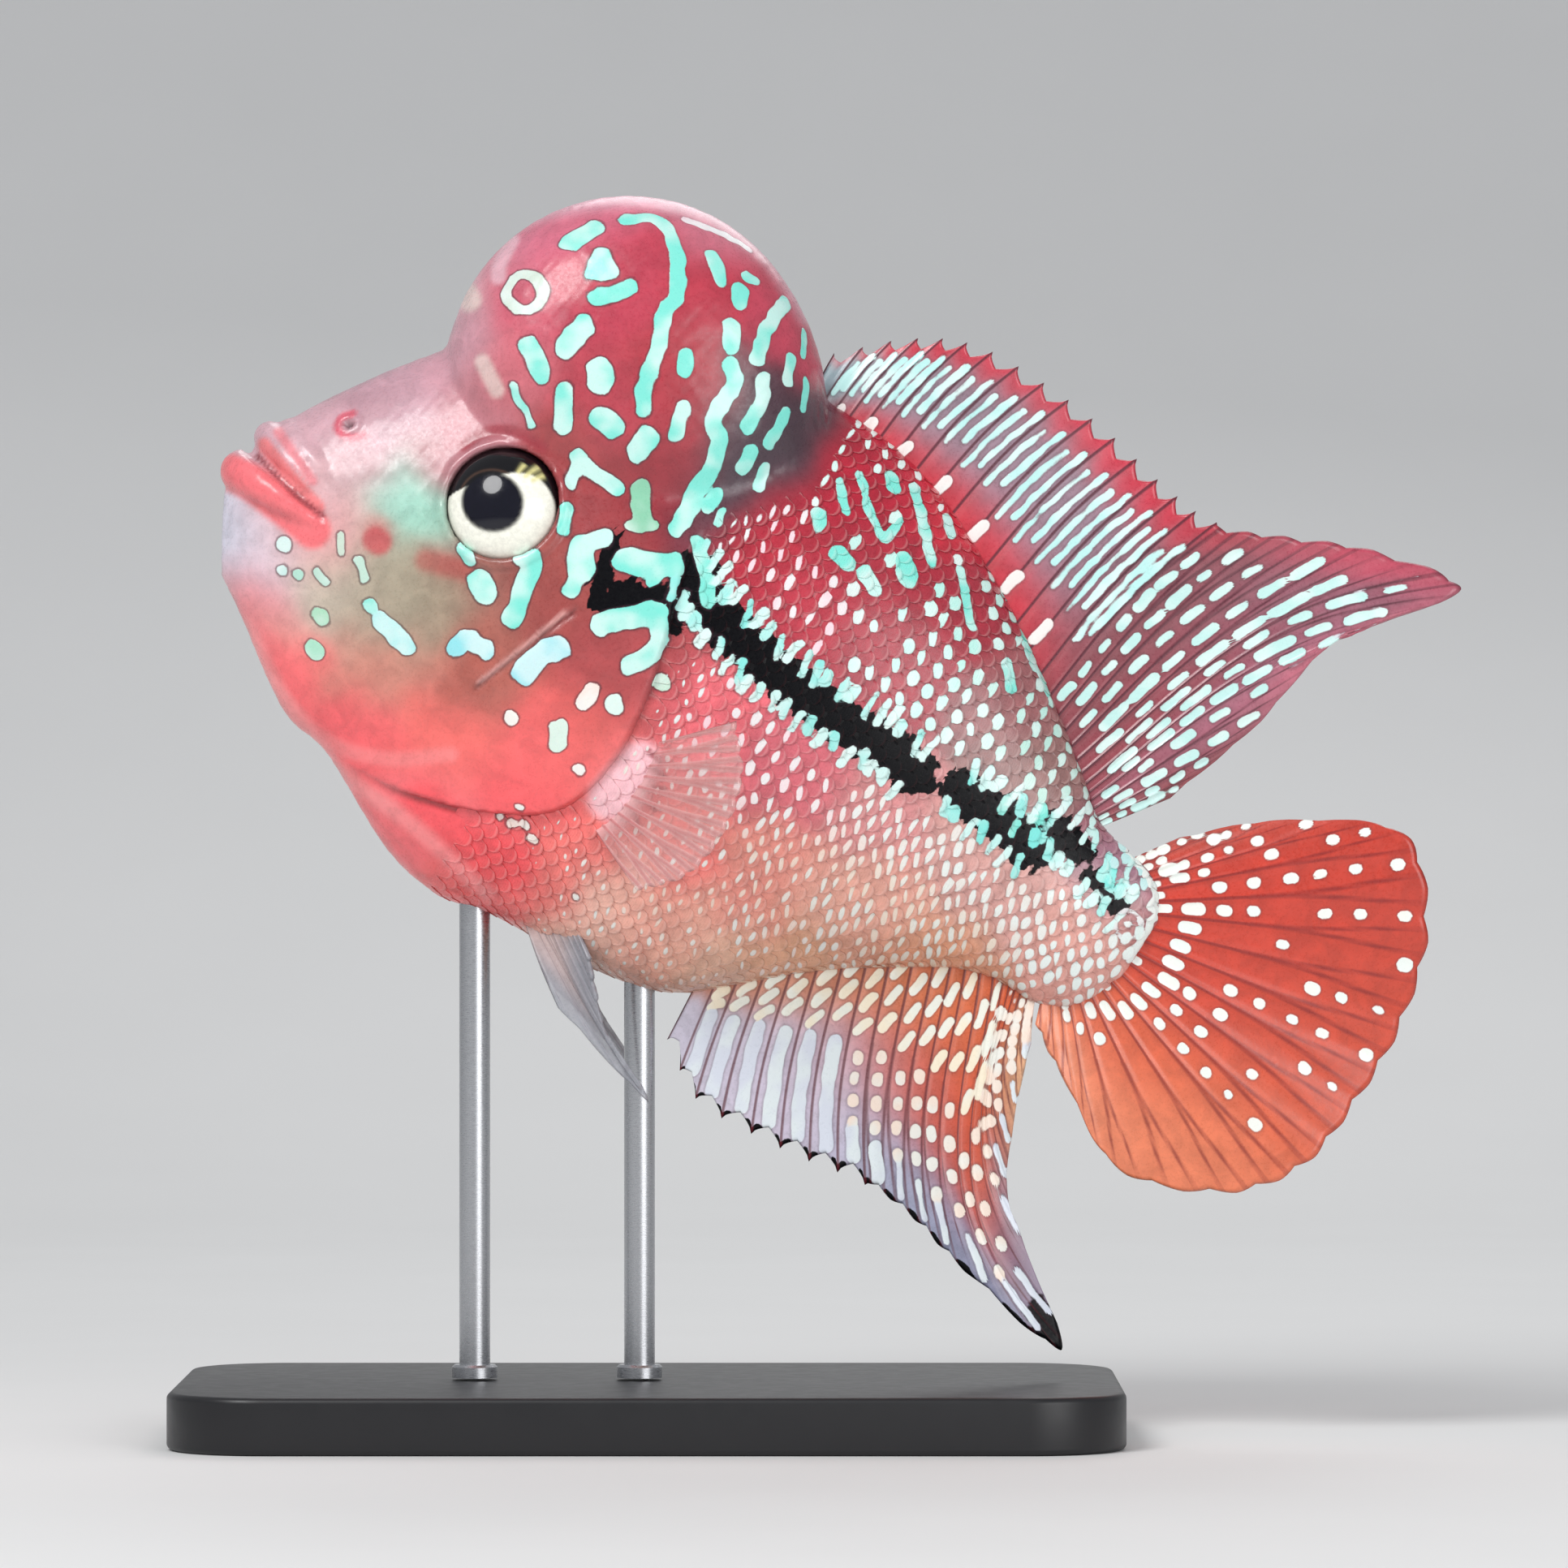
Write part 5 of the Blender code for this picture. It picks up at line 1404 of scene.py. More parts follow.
@dataclass(frozen=True)
class Scales:
    """Overlapping scales of one side, each a closed shield that lies on the skin."""

    length: float = 3.5
    height: float = 3.15
    thickness: float = 0.16
    rows: int = 7
    columns: int = 9
    spot_middle: float = 0.95

    def build(self, name: str, lattice: ScaleLattice, side: Side, span: Pair) -> Piece:
        """Makes the scales of a side between two places along the fish as one mesh."""
        who = np.flatnonzero((lattice.side == side.value) & (lattice.u >= span[0]) & (lattice.u < span[1]))
        s = np.array([0.0, 0.30, 0.48, 0.64, 0.78, 0.90, 1.0])
        c = np.linspace(-1.0, 1.0, self.columns)
        grid_s, grid_c = np.meshgrid(s, c, indexing="ij")
        bulge = np.sqrt(np.maximum(1 - np.abs(grid_c) ** 2.2, 0.0))
        x = -0.42 * self.length + self.length * (grid_s * (0.62 + 0.38 * bulge))
        taper = 0.72 + 0.28 * np.sin(math.pi * np.clip(grid_s * 1.05, 0, 1)) ** 0.6
        y = grid_c * self.height / 2 * taper
        lift = -0.16 + 0.34 * grid_s**0.8 - 0.10 * (np.abs(grid_c) ** 3)
        base_x, base_y, base_lift = x.ravel(), y.ravel(), lift.ravel()
        outline = [(0, k) for k in range(self.columns)]
        outline += [(k, self.columns - 1) for k in range(1, self.rows)]
        outline += [(self.rows - 1, k) for k in range(self.columns - 2, -1, -1)]
        outline += [(k, 0) for k in range(self.rows - 2, 0, -1)]
        rim = [a * self.columns + b for a, b in outline]
        count = self.rows * self.columns
        tops = len(who) * (count + len(rim))
        points = np.empty((tops, 3))
        rims = np.zeros(tops)
        circuli = np.zeros(tops)
        spot_x = np.zeros(tops)
        spot_y = np.zeros(tops)
        owner = np.zeros(tops, int)
        uv = np.zeros((tops, 2))
        faces = []
        stride = count + len(rim)
        edge_gap = np.minimum(self.length * (1 - grid_s), (1 - np.abs(grid_c)) * self.height / 2).ravel()
        wave = np.hypot(base_x + 0.3 * self.length, base_y)
        quads = [
            (first, first + self.columns, first + self.columns + 1, first + 1)
            for first in range((self.rows - 1) * self.columns)
            if first % self.columns < self.columns - 1
        ]
        for number, scale in enumerate(who):
            grow = 0.94 + 0.12 * lattice.chance[scale, 3]
            origin = lattice.places[scale]
            flat = origin + np.multiply.outer(base_x * grow, lattice.along[scale])
            flat = flat + np.multiply.outer(base_y * grow, lattice.up[scale])
            for k, place in enumerate(flat):
                hit, normal, _, _ = lattice.tree.find_nearest(Vector(place))
                points[number * stride + k] = np.array(hit) + np.array(normal) * base_lift[k]
            top = points[number * stride : number * stride + count]
            under = top[rim] - lattice.normals[scale] * self.thickness
            points[number * stride + count : (number + 1) * stride] = under
            start = number * stride
            faces += [tuple(start + k for k in quad) for quad in quads]
            size = len(rim)
            faces += [
                (start + rim[k], start + rim[after], start + count + after, start + count + k)
                for k, after in ((k, (k + 1) % size) for k in range(size))
            ]
            faces.append(tuple(start + count + k for k in range(size)))
            rims[start : start + count] = edge_gap
            circuli[start : start + count] = wave
            owner[start : start + stride] = scale
            off = 0.0 if lattice.half_width[scale] > 0 else 9.0
            shift_x, shift_y = lattice.shift[scale]
            local_x = base_x * grow - self.spot_middle - shift_x - base_y * lattice.lean[scale] + off
            spot_x[start : start + count] = local_x
            spot_x[start + count : start + stride] = local_x[rim]
            spot_y[start : start + count] = base_y * grow - shift_y
            spot_y[start + count : start + stride] = base_y[rim] * grow - shift_y
            root = np.array([(lattice.u[scale] - 40.0) / 90.0, 0.5 + lattice.girth[scale] / 110.0])
            local = np.stack([base_x / self.length, base_y / self.height], axis=1) * 0.003
            uv[start : start + count] = root + local
            uv[start + count : start + stride] = root + local[rim]
        mesh = bpy.data.meshes.new(name)
        mesh.from_pydata((points * MM).tolist(), [], faces)
        bm = bmesh.new()
        bm.from_mesh(mesh)
        bmesh.ops.recalc_face_normals(bm, faces=bm.faces)
        bm.to_mesh(mesh)
        bm.free()
        made = bpy.data.objects.new(name, mesh)
        bpy.context.scene.collection.objects.link(made)
        mesh.shade_smooth()
        mesh.set_sharp_from_angle(angle=math.radians(60))
        spot_wide = np.maximum(lattice.half_width[owner], 0.05)
        spot_long = np.maximum(lattice.half_length[owner], 0.05)
        write(made, rim=rims, circuli=circuli, spot_x=spot_x, spot_y=spot_y, spot_wide=spot_wide)
        write(made, spot_long=spot_long, spot_tint=lattice.spot_colour[owner])
        layer = mesh.uv_layers.new(name="OFBake")
        corner = np.empty(len(mesh.loops), np.int32)
        mesh.loops.foreach_get("vertex_index", corner)
        layer.data.foreach_set("uv", uv[corner].astype(np.float32).ravel())
        return made


@dataclass(frozen=True)
class Fin:
    """One fin: guide rays of root, tip and bow, its rays, and how its edge and surface run."""

    name: str
    guides: tuple
    rays: tuple
    spines: int = 0
    side: int = 1
    reach: float = 1.0
    spike: float = 0.8
    notch: float = 1.0
    wave: float = 0.6
    between: int = 10
    rows: int = 84
    thickness: float = 0.5
    ridge: float = 0.5

    def place_of(self, ray: Array) -> Array:
        """Places counted in guides of places counted in rays."""
        return np.interp(ray, np.arange(len(self.rays)), self.rays)

    def sheet(self, ray: Array, part: Array) -> Array:
        """Body points of the middle sheet.

        Args:
            ray: Places across the fin, counted in rays.
            part: Places along a ray, from 0 at the root to 1 at the edge.

        Returns:
            Array of (part, ray, 3) body points.
        """
        roots = np.array([root for root, _, _ in self.guides])
        tips = roots + (np.array([tip for _, tip, _ in self.guides]) - roots) * self.reach
        bows = np.array([[bow] for _, _, bow in self.guides])
        place = self.place_of(ray)
        root = smooth_through(roots, place)
        tip = smooth_through(tips, place)
        bow = smooth_through(bows, place)[:, 0]
        length = np.linalg.norm(tip - root, axis=1, keepdims=True)
        along = (tip - root) / length
        away = np.abs(ray - np.round(ray)) * 2
        hard = ray <= max(self.spines - 1, 0)
        spiny = self.spike - (self.spike + self.notch) * away**0.6
        scallop = np.where(hard & (self.spines > 0), spiny, 0.45 - 0.7 * away**1.5)
        tip = tip + along * scallop[:, None]
        across = np.stack([-along[:, 1], along[:, 0], np.zeros(len(ray))], axis=1) * length * bow[:, None]
        t = np.asarray(part, float)[:, None, None]
        spot = root + (tip - root) * t + across * np.sin(math.pi * t**1.25)
        sway = self.wave * t[..., 0] ** 2 * np.sin(1.7 * place + 0.6)
        spot[..., 2] = self.side * (spot[..., 2] + sway)
        return spot

    def build(self) -> Piece:
        """Makes the fin as a closed sleeve whose two faces meet at its edge."""
        gaps = len(self.rays) - 1
        ray = np.linspace(0, gaps, gaps * self.between + 1)
        part = np.linspace(0, 1, self.rows)
        middle = to_world(self.sheet(ray, part))
        du = np.gradient(middle, axis=1)
        dt = np.gradient(middle, axis=0)
        normal = np.cross(du, dt)
        normal /= np.maximum(np.linalg.norm(normal, axis=-1, keepdims=True), 1e-12)
        away = np.abs(ray - np.round(ray))[None, :] * 2
        t = part[:, None]
        crest = np.exp(-((away / 0.34) ** 2)) * (1 - 0.6 * t)
        soft = (ray > max(self.spines - 1, 0))[None, :]
        off_branch = (away - 0.5 * eased(t, 0.45, 1.0)) / 0.28
        branch = np.where(soft, np.exp(-(off_branch**2)) * eased(t, 0.4, 0.7) * 0.4, 0.0)
        half = (self.thickness + self.ridge * np.maximum(crest, branch)) / 2
        half[[0, -1], :] = 0.0
        half[:, [0, -1]] = 0.0
        front = middle + normal * half[..., None]
        back = middle - normal * half[..., None]
        places = np.concatenate([front, back[:, ::-1]], axis=1)
        bm = grid(places.shape[1], places.shape[0], places)
        bmesh.ops.remove_doubles(bm, verts=bm.verts, dist=1e-4)
        bmesh.ops.recalc_face_normals(bm, faces=bm.faces)
        return link_mesh(self.name, bm)


def rays(first: float, last: float, count: int) -> tuple:
    """Evenly spaced places of rays, counted in guides."""
    return tuple(np.linspace(first, last, count))


DORSAL = Fin(
    "fin_dorsal",
    (
        ((57.8, 44.4, 0.0), (57.4, 51.4, 0.0), 0.02),
        ((62.0, 43.4, 0.0), (64.4, 57.6, 0.0), 0.03),
        ((68.0, 42.8, 0.0), (71.8, 61.0, 0.0), 0.04),
        ((76.0, 40.6, 0.0), (81.4, 61.2, 0.0), 0.04),
        ((85.0, 36.2, 0.0), (91.2, 60.0, 0.0), 0.04),
        ((94.0, 30.8, 0.0), (100.6, 57.7, 0.0), 0.04),
        ((101.0, 26.0, 0.0), (108.4, 56.9, 0.0), 0.04),
        ((104.6, 23.0, 0.0), (116.6, 60.0, 0.0), 0.05),
        ((107.4, 20.8, 0.0), (126.8, 64.0, 0.0), 0.05),
        ((109.6, 19.0, 0.0), (138.6, 65.2, 0.0), 0.10),
        ((111.2, 17.6, 0.0), (128.7, 52.3, 0.0), 0.035),
        ((112.4, 16.4, 0.0), (125.4, 39.0, 0.0), -0.01),
        ((113.2, 15.6, 0.0), (120.4, 25.0, 0.0), 0.0),
    ),
    rays(0, 6, 17) + rays(6, 12, 13)[1:],
    spines=17,
)
ANAL = Fin(
    "fin_anal",
    (
        ((81.4, -22.6, 0.0), (81.8, -30.6, 0.0), 0.0),
        ((85.4, -18.6, 0.0), (88.4, -35.2, 0.0), -0.02),
        ((90.4, -14.4, 0.0), (96.4, -35.5, 0.0), -0.03),
        ((95.4, -10.6, 0.0), (104.2, -34.9, 0.0), -0.04),
        ((100.2, -7.8, 0.0), (111.6, -34.0, 0.0), -0.045),
        ((105.0, -5.2, 0.0), (119.2, -35.0, 0.0), -0.06),
        ((108.6, -3.8, 0.0), (127.7, -37.4, 0.0), -0.083),
        ((111.8, -2.8, 0.0), (142.8, -39.8, 0.0), -0.154),
        ((114.2, -2.4, 0.0), (128.8, -28.1, 0.0), -0.107),
        ((116.0, -2.2, 0.0), (124.2, -19.5, 0.0), -0.094),
        ((117.6, -2.0, 0.0), (120.4, -8.6, 0.0), 0.0),
    ),
    rays(0, 10, 21),
    spines=9,
)
CAUDAL = Fin(
    "fin_caudal",
    (
        ((118.6, 14.4, 0.0), (123.8, 21.4, 0.0), 0.0),
        ((120.6, 13.6, 0.0), (134.0, 29.8, 0.0), 0.0),
        ((122.0, 12.6, 0.0), (147.4, 35.8, 0.0), 0.0),
        ((123.0, 11.0, 0.0), (155.8, 27.4, 0.0), 0.0),
        ((123.6, 8.6, 0.0), (159.0, 15.6, 0.0), 0.0),
        ((123.7, 6.2, 0.0), (158.9, 4.4, 0.0), 0.0),
        ((123.3, 3.8, 0.0), (157.0, -5.8, 0.0), 0.0),
        ((122.4, 1.8, 0.0), (150.2, -13.4, 0.0), 0.0),
        ((121.2, 0.2, 0.0), (137.8, -17.2, 0.0), 0.0),
        ((119.8, -0.8, 0.0), (126.6, -11.0, 0.0), 0.0),
        ((118.4, -1.4, 0.0), (120.0, -6.6, 0.0), 0.0),
    ),
    rays(0, 10, 20),
    wave=1.0,
)
PECTORAL_GUIDES = (
    ((60.4, -2.6, 11.5), (69.6, 6.6, 26.0), 0.0),
    ((61.0, -5.2, 11.5), (73.6, 1.4, 30.2), 0.0),
    ((61.2, -7.8, 11.5), (75.0, -5.4, 31.6), 0.0),
    ((61.0, -10.4, 11.5), (73.8, -12.0, 30.0), 0.0),
    ((60.4, -12.8, 11.5), (69.4, -16.8, 25.6), 0.0),
)
PELVIC_GUIDES = (
    ((56.6, -25.0, 2.6), (68.0, -34.2, 7.0), -0.02),
    ((57.8, -24.6, 3.2), (83.2, -38.6, 9.8), -0.02),
    ((59.4, -24.0, 3.9), (75.6, -34.6, 9.6), -0.02),
    ((61.0, -23.4, 4.6), (71.4, -30.6, 9.0), 0.0),
    ((62.6, -22.8, 5.2), (68.2, -26.8, 8.4), 0.0),
)

# Ground colours of the fins: place (ray, part), colour, reach in rays and reach in parts.
DORSAL_GROUNDS = (
    ((0.5, 0.3), (150, 190, 196), 1.6, 0.5),
    ((3.0, 0.12), (206, 40, 58), 3.0, 0.2),
    ((10.0, 0.14), (204, 44, 60), 4.0, 0.2),
    ((5.0, 0.6), (150, 130, 142), 4.0, 0.26),
    ((11.0, 0.6), (156, 128, 142), 4.0, 0.26),
    ((4.0, 0.98), (206, 40, 62), 3.0, 0.12),
    ((12.0, 0.98), (206, 40, 62), 4.0, 0.12),
    ((17.0, 0.5), (140, 72, 80), 2.5, 0.4),
    ((22.0, 0.3), (150, 66, 76), 3.0, 0.35),
    ((22.0, 0.8), (150, 96, 112), 3.0, 0.35),
    ((24.5, 0.7), (176, 110, 130), 1.6, 0.5),
    ((27.0, 0.6), (146, 70, 74), 2.0, 0.5),
    ((20.5, 0.97), (206, 56, 80), 1.6, 0.1),
    ((24.0, 1.0), (226, 110, 126), 1.2, 0.2),
)
ANAL_GROUNDS = (
    ((2.0, 0.7), (206, 200, 216), 3.0, 0.3),
    ((6.0, 0.7), (204, 190, 208), 3.0, 0.3),
    ((4.0, 0.1), (212, 142, 112), 4.0, 0.2),
    ((10.0, 0.12), (218, 120, 74), 4.0, 0.2),
    ((16.0, 0.12), (220, 100, 60), 4.0, 0.25),
    ((10.0, 0.5), (206, 100, 84), 3.0, 0.22),
    ((14.0, 0.5), (206, 78, 52), 3.0, 0.25),
    ((10.0, 0.9), (160, 168, 194), 3.0, 0.2),
    ((14.0, 0.88), (112, 112, 140), 2.4, 0.2),
    ((17.0, 0.6), (214, 110, 70), 2.0, 0.3),
    ((19.0, 0.6), (226, 178, 138), 1.4, 0.4),
)
CAUDAL_GROUNDS = (
    ((3.0, 0.3), (206, 62, 46), 4.0, 0.3),
    ((8.0, 0.3), (206, 66, 46), 3.0, 0.3),
    ((5.0, 0.75), (198, 60, 44), 4.0, 0.3),
    ((9.0, 0.8), (206, 76, 48), 2.5, 0.3),
    # Lower lobe: lighter salmon, partly the fin's own colour and partly painted light on the lobe.
    ((14.0, 0.3), (222, 100, 66), 3.0, 0.3),
    ((14.0, 0.8), (236, 130, 92), 3.0, 0.3),
    ((17.0, 0.5), (238, 150, 116), 2.0, 0.4),
    ((1.0, 0.6), (190, 84, 70), 1.4, 0.4),
)


@dataclass(frozen=True)
class FinMark:
    """Light mark of a fin: two places (ray, part of its length) and a half width in millimetres."""

    start: Pair
    end: Pair
    half_width: float
    colour: Triple = (214, 242, 238)


@dataclass
class FinPainter:
    """Ground colours and light marks of a fin, in places (ray, part of its length).

    grounds are ((ray, part), colour, reach in rays, reach in parts).
    """

    fin: Fin
    grounds: tuple
    marks: list
    ray_colour: tuple = (120, 30, 34)
    ray_part: float = 0.6
    ink: tuple = ()
    clear: float = 0.0
    widest: float = 0.36

    def coordinates(self, points: Array) -> tuple[Array, Array]:
        """Ray and part of each point, from the nearest place of the sheet."""
        gaps = len(self.fin.rays) - 1
        ray = np.linspace(0, gaps, gaps * self.fin.between + 1)
        part = np.linspace(0, 1, self.fin.rows)
        sheet = to_world(self.fin.sheet(ray, part)).reshape(-1, 3)
        near = KDTree(len(sheet))
        for number, place in enumerate(sheet):
            near.insert(Vector(place), number)
        near.balance()
        found = np.array([near.find(Vector(p))[1] for p in points])
        return ray[found % len(ray)], part[found // len(ray)]

    def solid(self, ray: Array, part: Array, line: Array) -> Array:
        """How opaque the fin is at each vertex."""
        if self.clear <= 0:
            return np.ones(len(ray))
        rod = 1 - eased(line, 0.10, 0.34)
        return np.clip(1 - self.clear * (1 - 0.75 * rod) * eased(part, 0.10, 0.34), 0.0, 1.0)

    def paint(self, made: Piece) -> None:
        """Stores the colours and marks of each vertex."""
        points = points_of(made)
        ray, part = self.coordinates(points)
        places = np.array([g[0] for g in self.grounds])
        tints = np.array([srgb(*g[1]) for g in self.grounds])
        spans = np.array([g[2:4] for g in self.grounds])
        gap = (np.stack([ray, part], axis=1)[:, None] - places[None]) / spans[None]
        far = (gap**2).sum(axis=-1)
        weight = np.exp(-far) + 1e-4 / (1 + far) ** 2
        tint = (weight / weight.sum(axis=1, keepdims=True)) @ tints
        warp = np.stack([wander(points, 5.0, 3.0 + k) for k in range(3)], axis=1) * 0.12
        moved = points + warp
        best = np.full(len(points), 9.0)
        colour = np.tile(np.array(srgb(*CREAM)), (len(points), 1))
        gaps = len(self.fin.rays) - 1
        steps = np.linspace(0, 1, 5)
        for mark in self.marks:
            at_ray = mark.start[0] + (mark.end[0] - mark.start[0]) * steps
            at_part = mark.start[1] + (mark.end[1] - mark.start[1]) * steps
            chain = to_world(self.fin.sheet(at_ray, at_part))[np.arange(5), np.arange(5)]
            around = np.clip([at_ray[2] - 0.5, at_ray[2] + 0.5], 0, gaps)
            beside = self.fin.sheet(around, at_part[2:3])
            half_width = min(mark.half_width, self.widest * np.linalg.norm(beside[0, 1] - beside[0, 0]))
            stroke = (chain, half_width, srgb(*mark.colour))
            lay_stroke(best, colour, moved, np.arange(len(points)), stroke, 1.5)
        ink = np.full(len(points), 9.0)
        for (at_ray, at_part), (span_ray, span_part) in self.ink:
            away = np.hypot((ray - at_ray) / span_ray, (part - at_part) / span_part)
            ink = np.minimum(ink, (away - 1) * 2.0)
        full = self.fin.sheet(np.arange(gaps + 1), np.array([0.0, 1.0]))
        spread = np.linalg.norm(np.diff(full, axis=1), axis=-1)
        slot = np.clip(ray.astype(int), 0, gaps - 1)
        pitch = spread[0][slot] + (spread[1][slot] - spread[0][slot]) * part
        away = np.abs(ray - np.round(ray))
        line = away * pitch
        soft = ray > max(self.fin.spines - 1, 0)
        split = np.abs(away - 0.25 * eased(part, 0.45, 1.0)) * pitch * 0.5 + 0.06
        line = np.where(soft & (part > 0.4), split, line)
        every = np.ones(len(points))
        write(made, tint=tint, ink=ink, mark=best, outlined=0.4 * every, solid=self.solid(ray, part, line))
        write(made, mark_tint=colour, shade=0.0 * every, ray=line, ray_part=self.ray_part * every)
        write(made, ray_tint=np.outer(every, srgb(*self.ray_colour)))


def dorsal_marks() -> list:
    """Streaks between the spines, spots at the base and rows of spots between the soft rays."""
    marks = []
    for gap in range(1, 17):
        middle = gap + 0.5 if gap < 16 else 15.6
        chance = math.modf(math.sin(gap * 12.9) * 437.5)[0]
        for offset, low, high, wide in ((-0.25, 0.36, 0.86, 0.46), (0.25, 0.44, 0.90, 0.50)):
            at = middle + offset
            start = (at - 0.05, low + 0.06 * chance)
            end = (at + 0.05, high - 0.05 * abs(chance))
            marks.append(FinMark(start, end, wide, (190, 240, 236)))
    for step, ray in enumerate((21.2, 22.2, 23.2, 24.2)):
        marks.append(FinMark((ray, 0.80 + 0.02 * step), (ray, 0.95), 0.26, (226, 210, 224)))
    for number in range(7):
        at = 2.2 + number * 1.95
        marks.append(FinMark((at, 0.15), (at + 0.06, 0.24), 0.78, (252, 240, 236)))
    for gap in range(16, 28):
        middle = gap + 0.5
        count = 7 if gap < 24 else 5
        for step in range(count):
            chance = chance_of(gap * 7.9 + step * 3.7, 57.3)
            part = 0.16 + 0.78 * (step + 0.5 * (gap % 2)) / count
            long = 0.018 + 0.026 * chance
            if part < 0.95:
                wide = 0.52 + 0.22 * chance
                marks.append(FinMark((middle, part - long), (middle, part + long), wide, (196, 238, 232)))
    return marks


def anal_marks() -> list:
    """Ovals at the base, round spots in columns between the rays, and pale streaks below."""
    marks = []
    for gap in range(1, 20):
        middle = gap + 0.5
        for part in (0.09, 0.20, 0.31) if gap < 15 else ():
            at = part + 0.05 * (gap % 2)
            marks.append(FinMark((middle - 0.2, at + 0.03), (middle + 0.2, at - 0.03), 0.62, (252, 240, 214)))
        if gap > 6:
            for step in range(4 if gap < 15 else 7):
                part = (0.46 if gap < 15 else 0.12) + 0.10 * (step + 0.5 * (gap % 2))
                marks.append(FinMark((middle, part - 0.008), (middle, part + 0.008), 0.72, (252, 232, 216)))
        low = 0.46 if gap < 7 else 0.84
        marks.append(FinMark((middle, low), (middle, 0.97), 0.9 if gap < 9 else 0.5, (222, 228, 240)))
    return marks


def caudal_marks() -> list:
    """Round spots in arcs over the upper part of the tail fin."""
    marks = []
    for gap in range(0, 18):
        middle = gap + 0.5
        arcs = (0.10, 0.20, 0.31, 0.43, 0.55, 0.67, 0.79, 0.93) if gap < 12 else (0.08, 0.18, 0.30)
        for number, part in enumerate(arcs):
            chance = chance_of(gap * 5.1 + number * 9.7, 71.3)
            if chance > (0.95 if number in (1, 7) else 0.68):
                continue
            long = 0.020 if number < 2 else 0.006
            shift = 0.05 * (chance - 0.35)
            start = (middle, part + shift - long)
            end = (middle, part + shift + long)
            marks.append(FinMark(start, end, 0.58 + 0.36 * chance, (246, 248, 240)))
    return marks


@dataclass(frozen=True)
class Eye:
    """Eye set into its socket: ball, iris and pupil, with places in millimetres across its face."""

    radius: float = 7.1
    bulge: float = 3.9
    sink: float = 1.5
    pupil_middle: Pair = (-0.75, -0.75)
    pupil_radii: Pair = (3.75, 3.4)
    crescent: tuple = (
        (-180, 7.3), (-60, 7.3), (-30, 6.9), (0, 6.2), (30, 5.2), (55, 3.9), (75, 3.2),
        (95, 2.8), (130, 2.9), (150, 3.9), (163, 5.2), (175, 7.1), (180, 7.3),
    )

    def build(self, name: str, seat: Socket, side: Side) -> Piece:
        """Makes one eye."""
        bm = bmesh.new()
        bmesh.ops.create_uvsphere(bm, u_segments=128, v_segments=96, radius=1.0)
        unit = np.array([vert.co for vert in bm.verts])
        along, up, outwards = unit[:, 0] * self.radius, unit[:, 1] * self.radius, unit[:, 2] * self.bulge
        cornea = 0.35 * np.exp(-((np.hypot(along, up) / 4.2) ** 2)) * (unit[:, 2] > 0)
        places = seat.place(along, outwards - self.sink + cornea, up)
        for vert, place in zip(bm.verts, places):
            vert.co = place
        bmesh.ops.recalc_face_normals(bm, faces=bm.faces)
        made = link_mesh(name, bm)
        x = along - self.pupil_middle[0]
        z = up - self.pupil_middle[1]
        pupil = np.hypot(x / self.pupil_radii[0], z / self.pupil_radii[1])
        reach = np.hypot(along, up)
        across = along * math.cos(PITCH) + up * math.sin(PITCH)
        rise = up * math.cos(PITCH) - along * math.sin(PITCH)
        angle = np.degrees(np.arctan2(rise, across))
        iris = np.array(srgb(255, 254, 240))
        yellow = np.array(srgb(240, 232, 160))
        dark = np.array(srgb(10, 9, 14))
        navy = np.array(srgb(10, 10, 26))
        tint = np.tile(iris, (len(x), 1))
        turns, inner_edges = np.array(self.crescent).T
        edge_at = np.interp(angle, turns, inner_edges)
        tint += (dark - tint) * eased(reach, edge_at - 0.1, edge_at + 0.3)[:, None]
        tint += (dark - tint) * (0.45 * eased(reach, 6.75, 7.0))[:, None]
        for turn, low, high in ((32.0, 4.4, 5.9), (44.0, 4.0, 6.0), (58.0, 3.9, 5.2)):
            within_streak = eased(reach, low - 0.2, low + 0.1) * (1 - eased(reach, high, high + 0.3))
            line = np.exp(-(((angle - turn) / 4.0) ** 2)) * within_streak
            tint += (yellow - tint) * (0.85 * line)[:, None]
        brown = np.array(srgb(92, 66, 52))
        arc = np.exp(-(((pupil - 1.16) / 0.05) ** 2)) * (reach > edge_at) * eased(angle, 50.0, 80.0)
        tint += (brown - tint) * (0.6 * arc)[:, None]
        inner = 1 - eased(pupil, 0.97, 1.04)
        tint += (navy - tint) * inner[:, None]
        edge = np.exp(-(((pupil - 1.02) / 0.06) ** 2))
        tint += (dark - tint) * (0.8 * edge)[:, None]
        write(made, tint=tint)
        return made


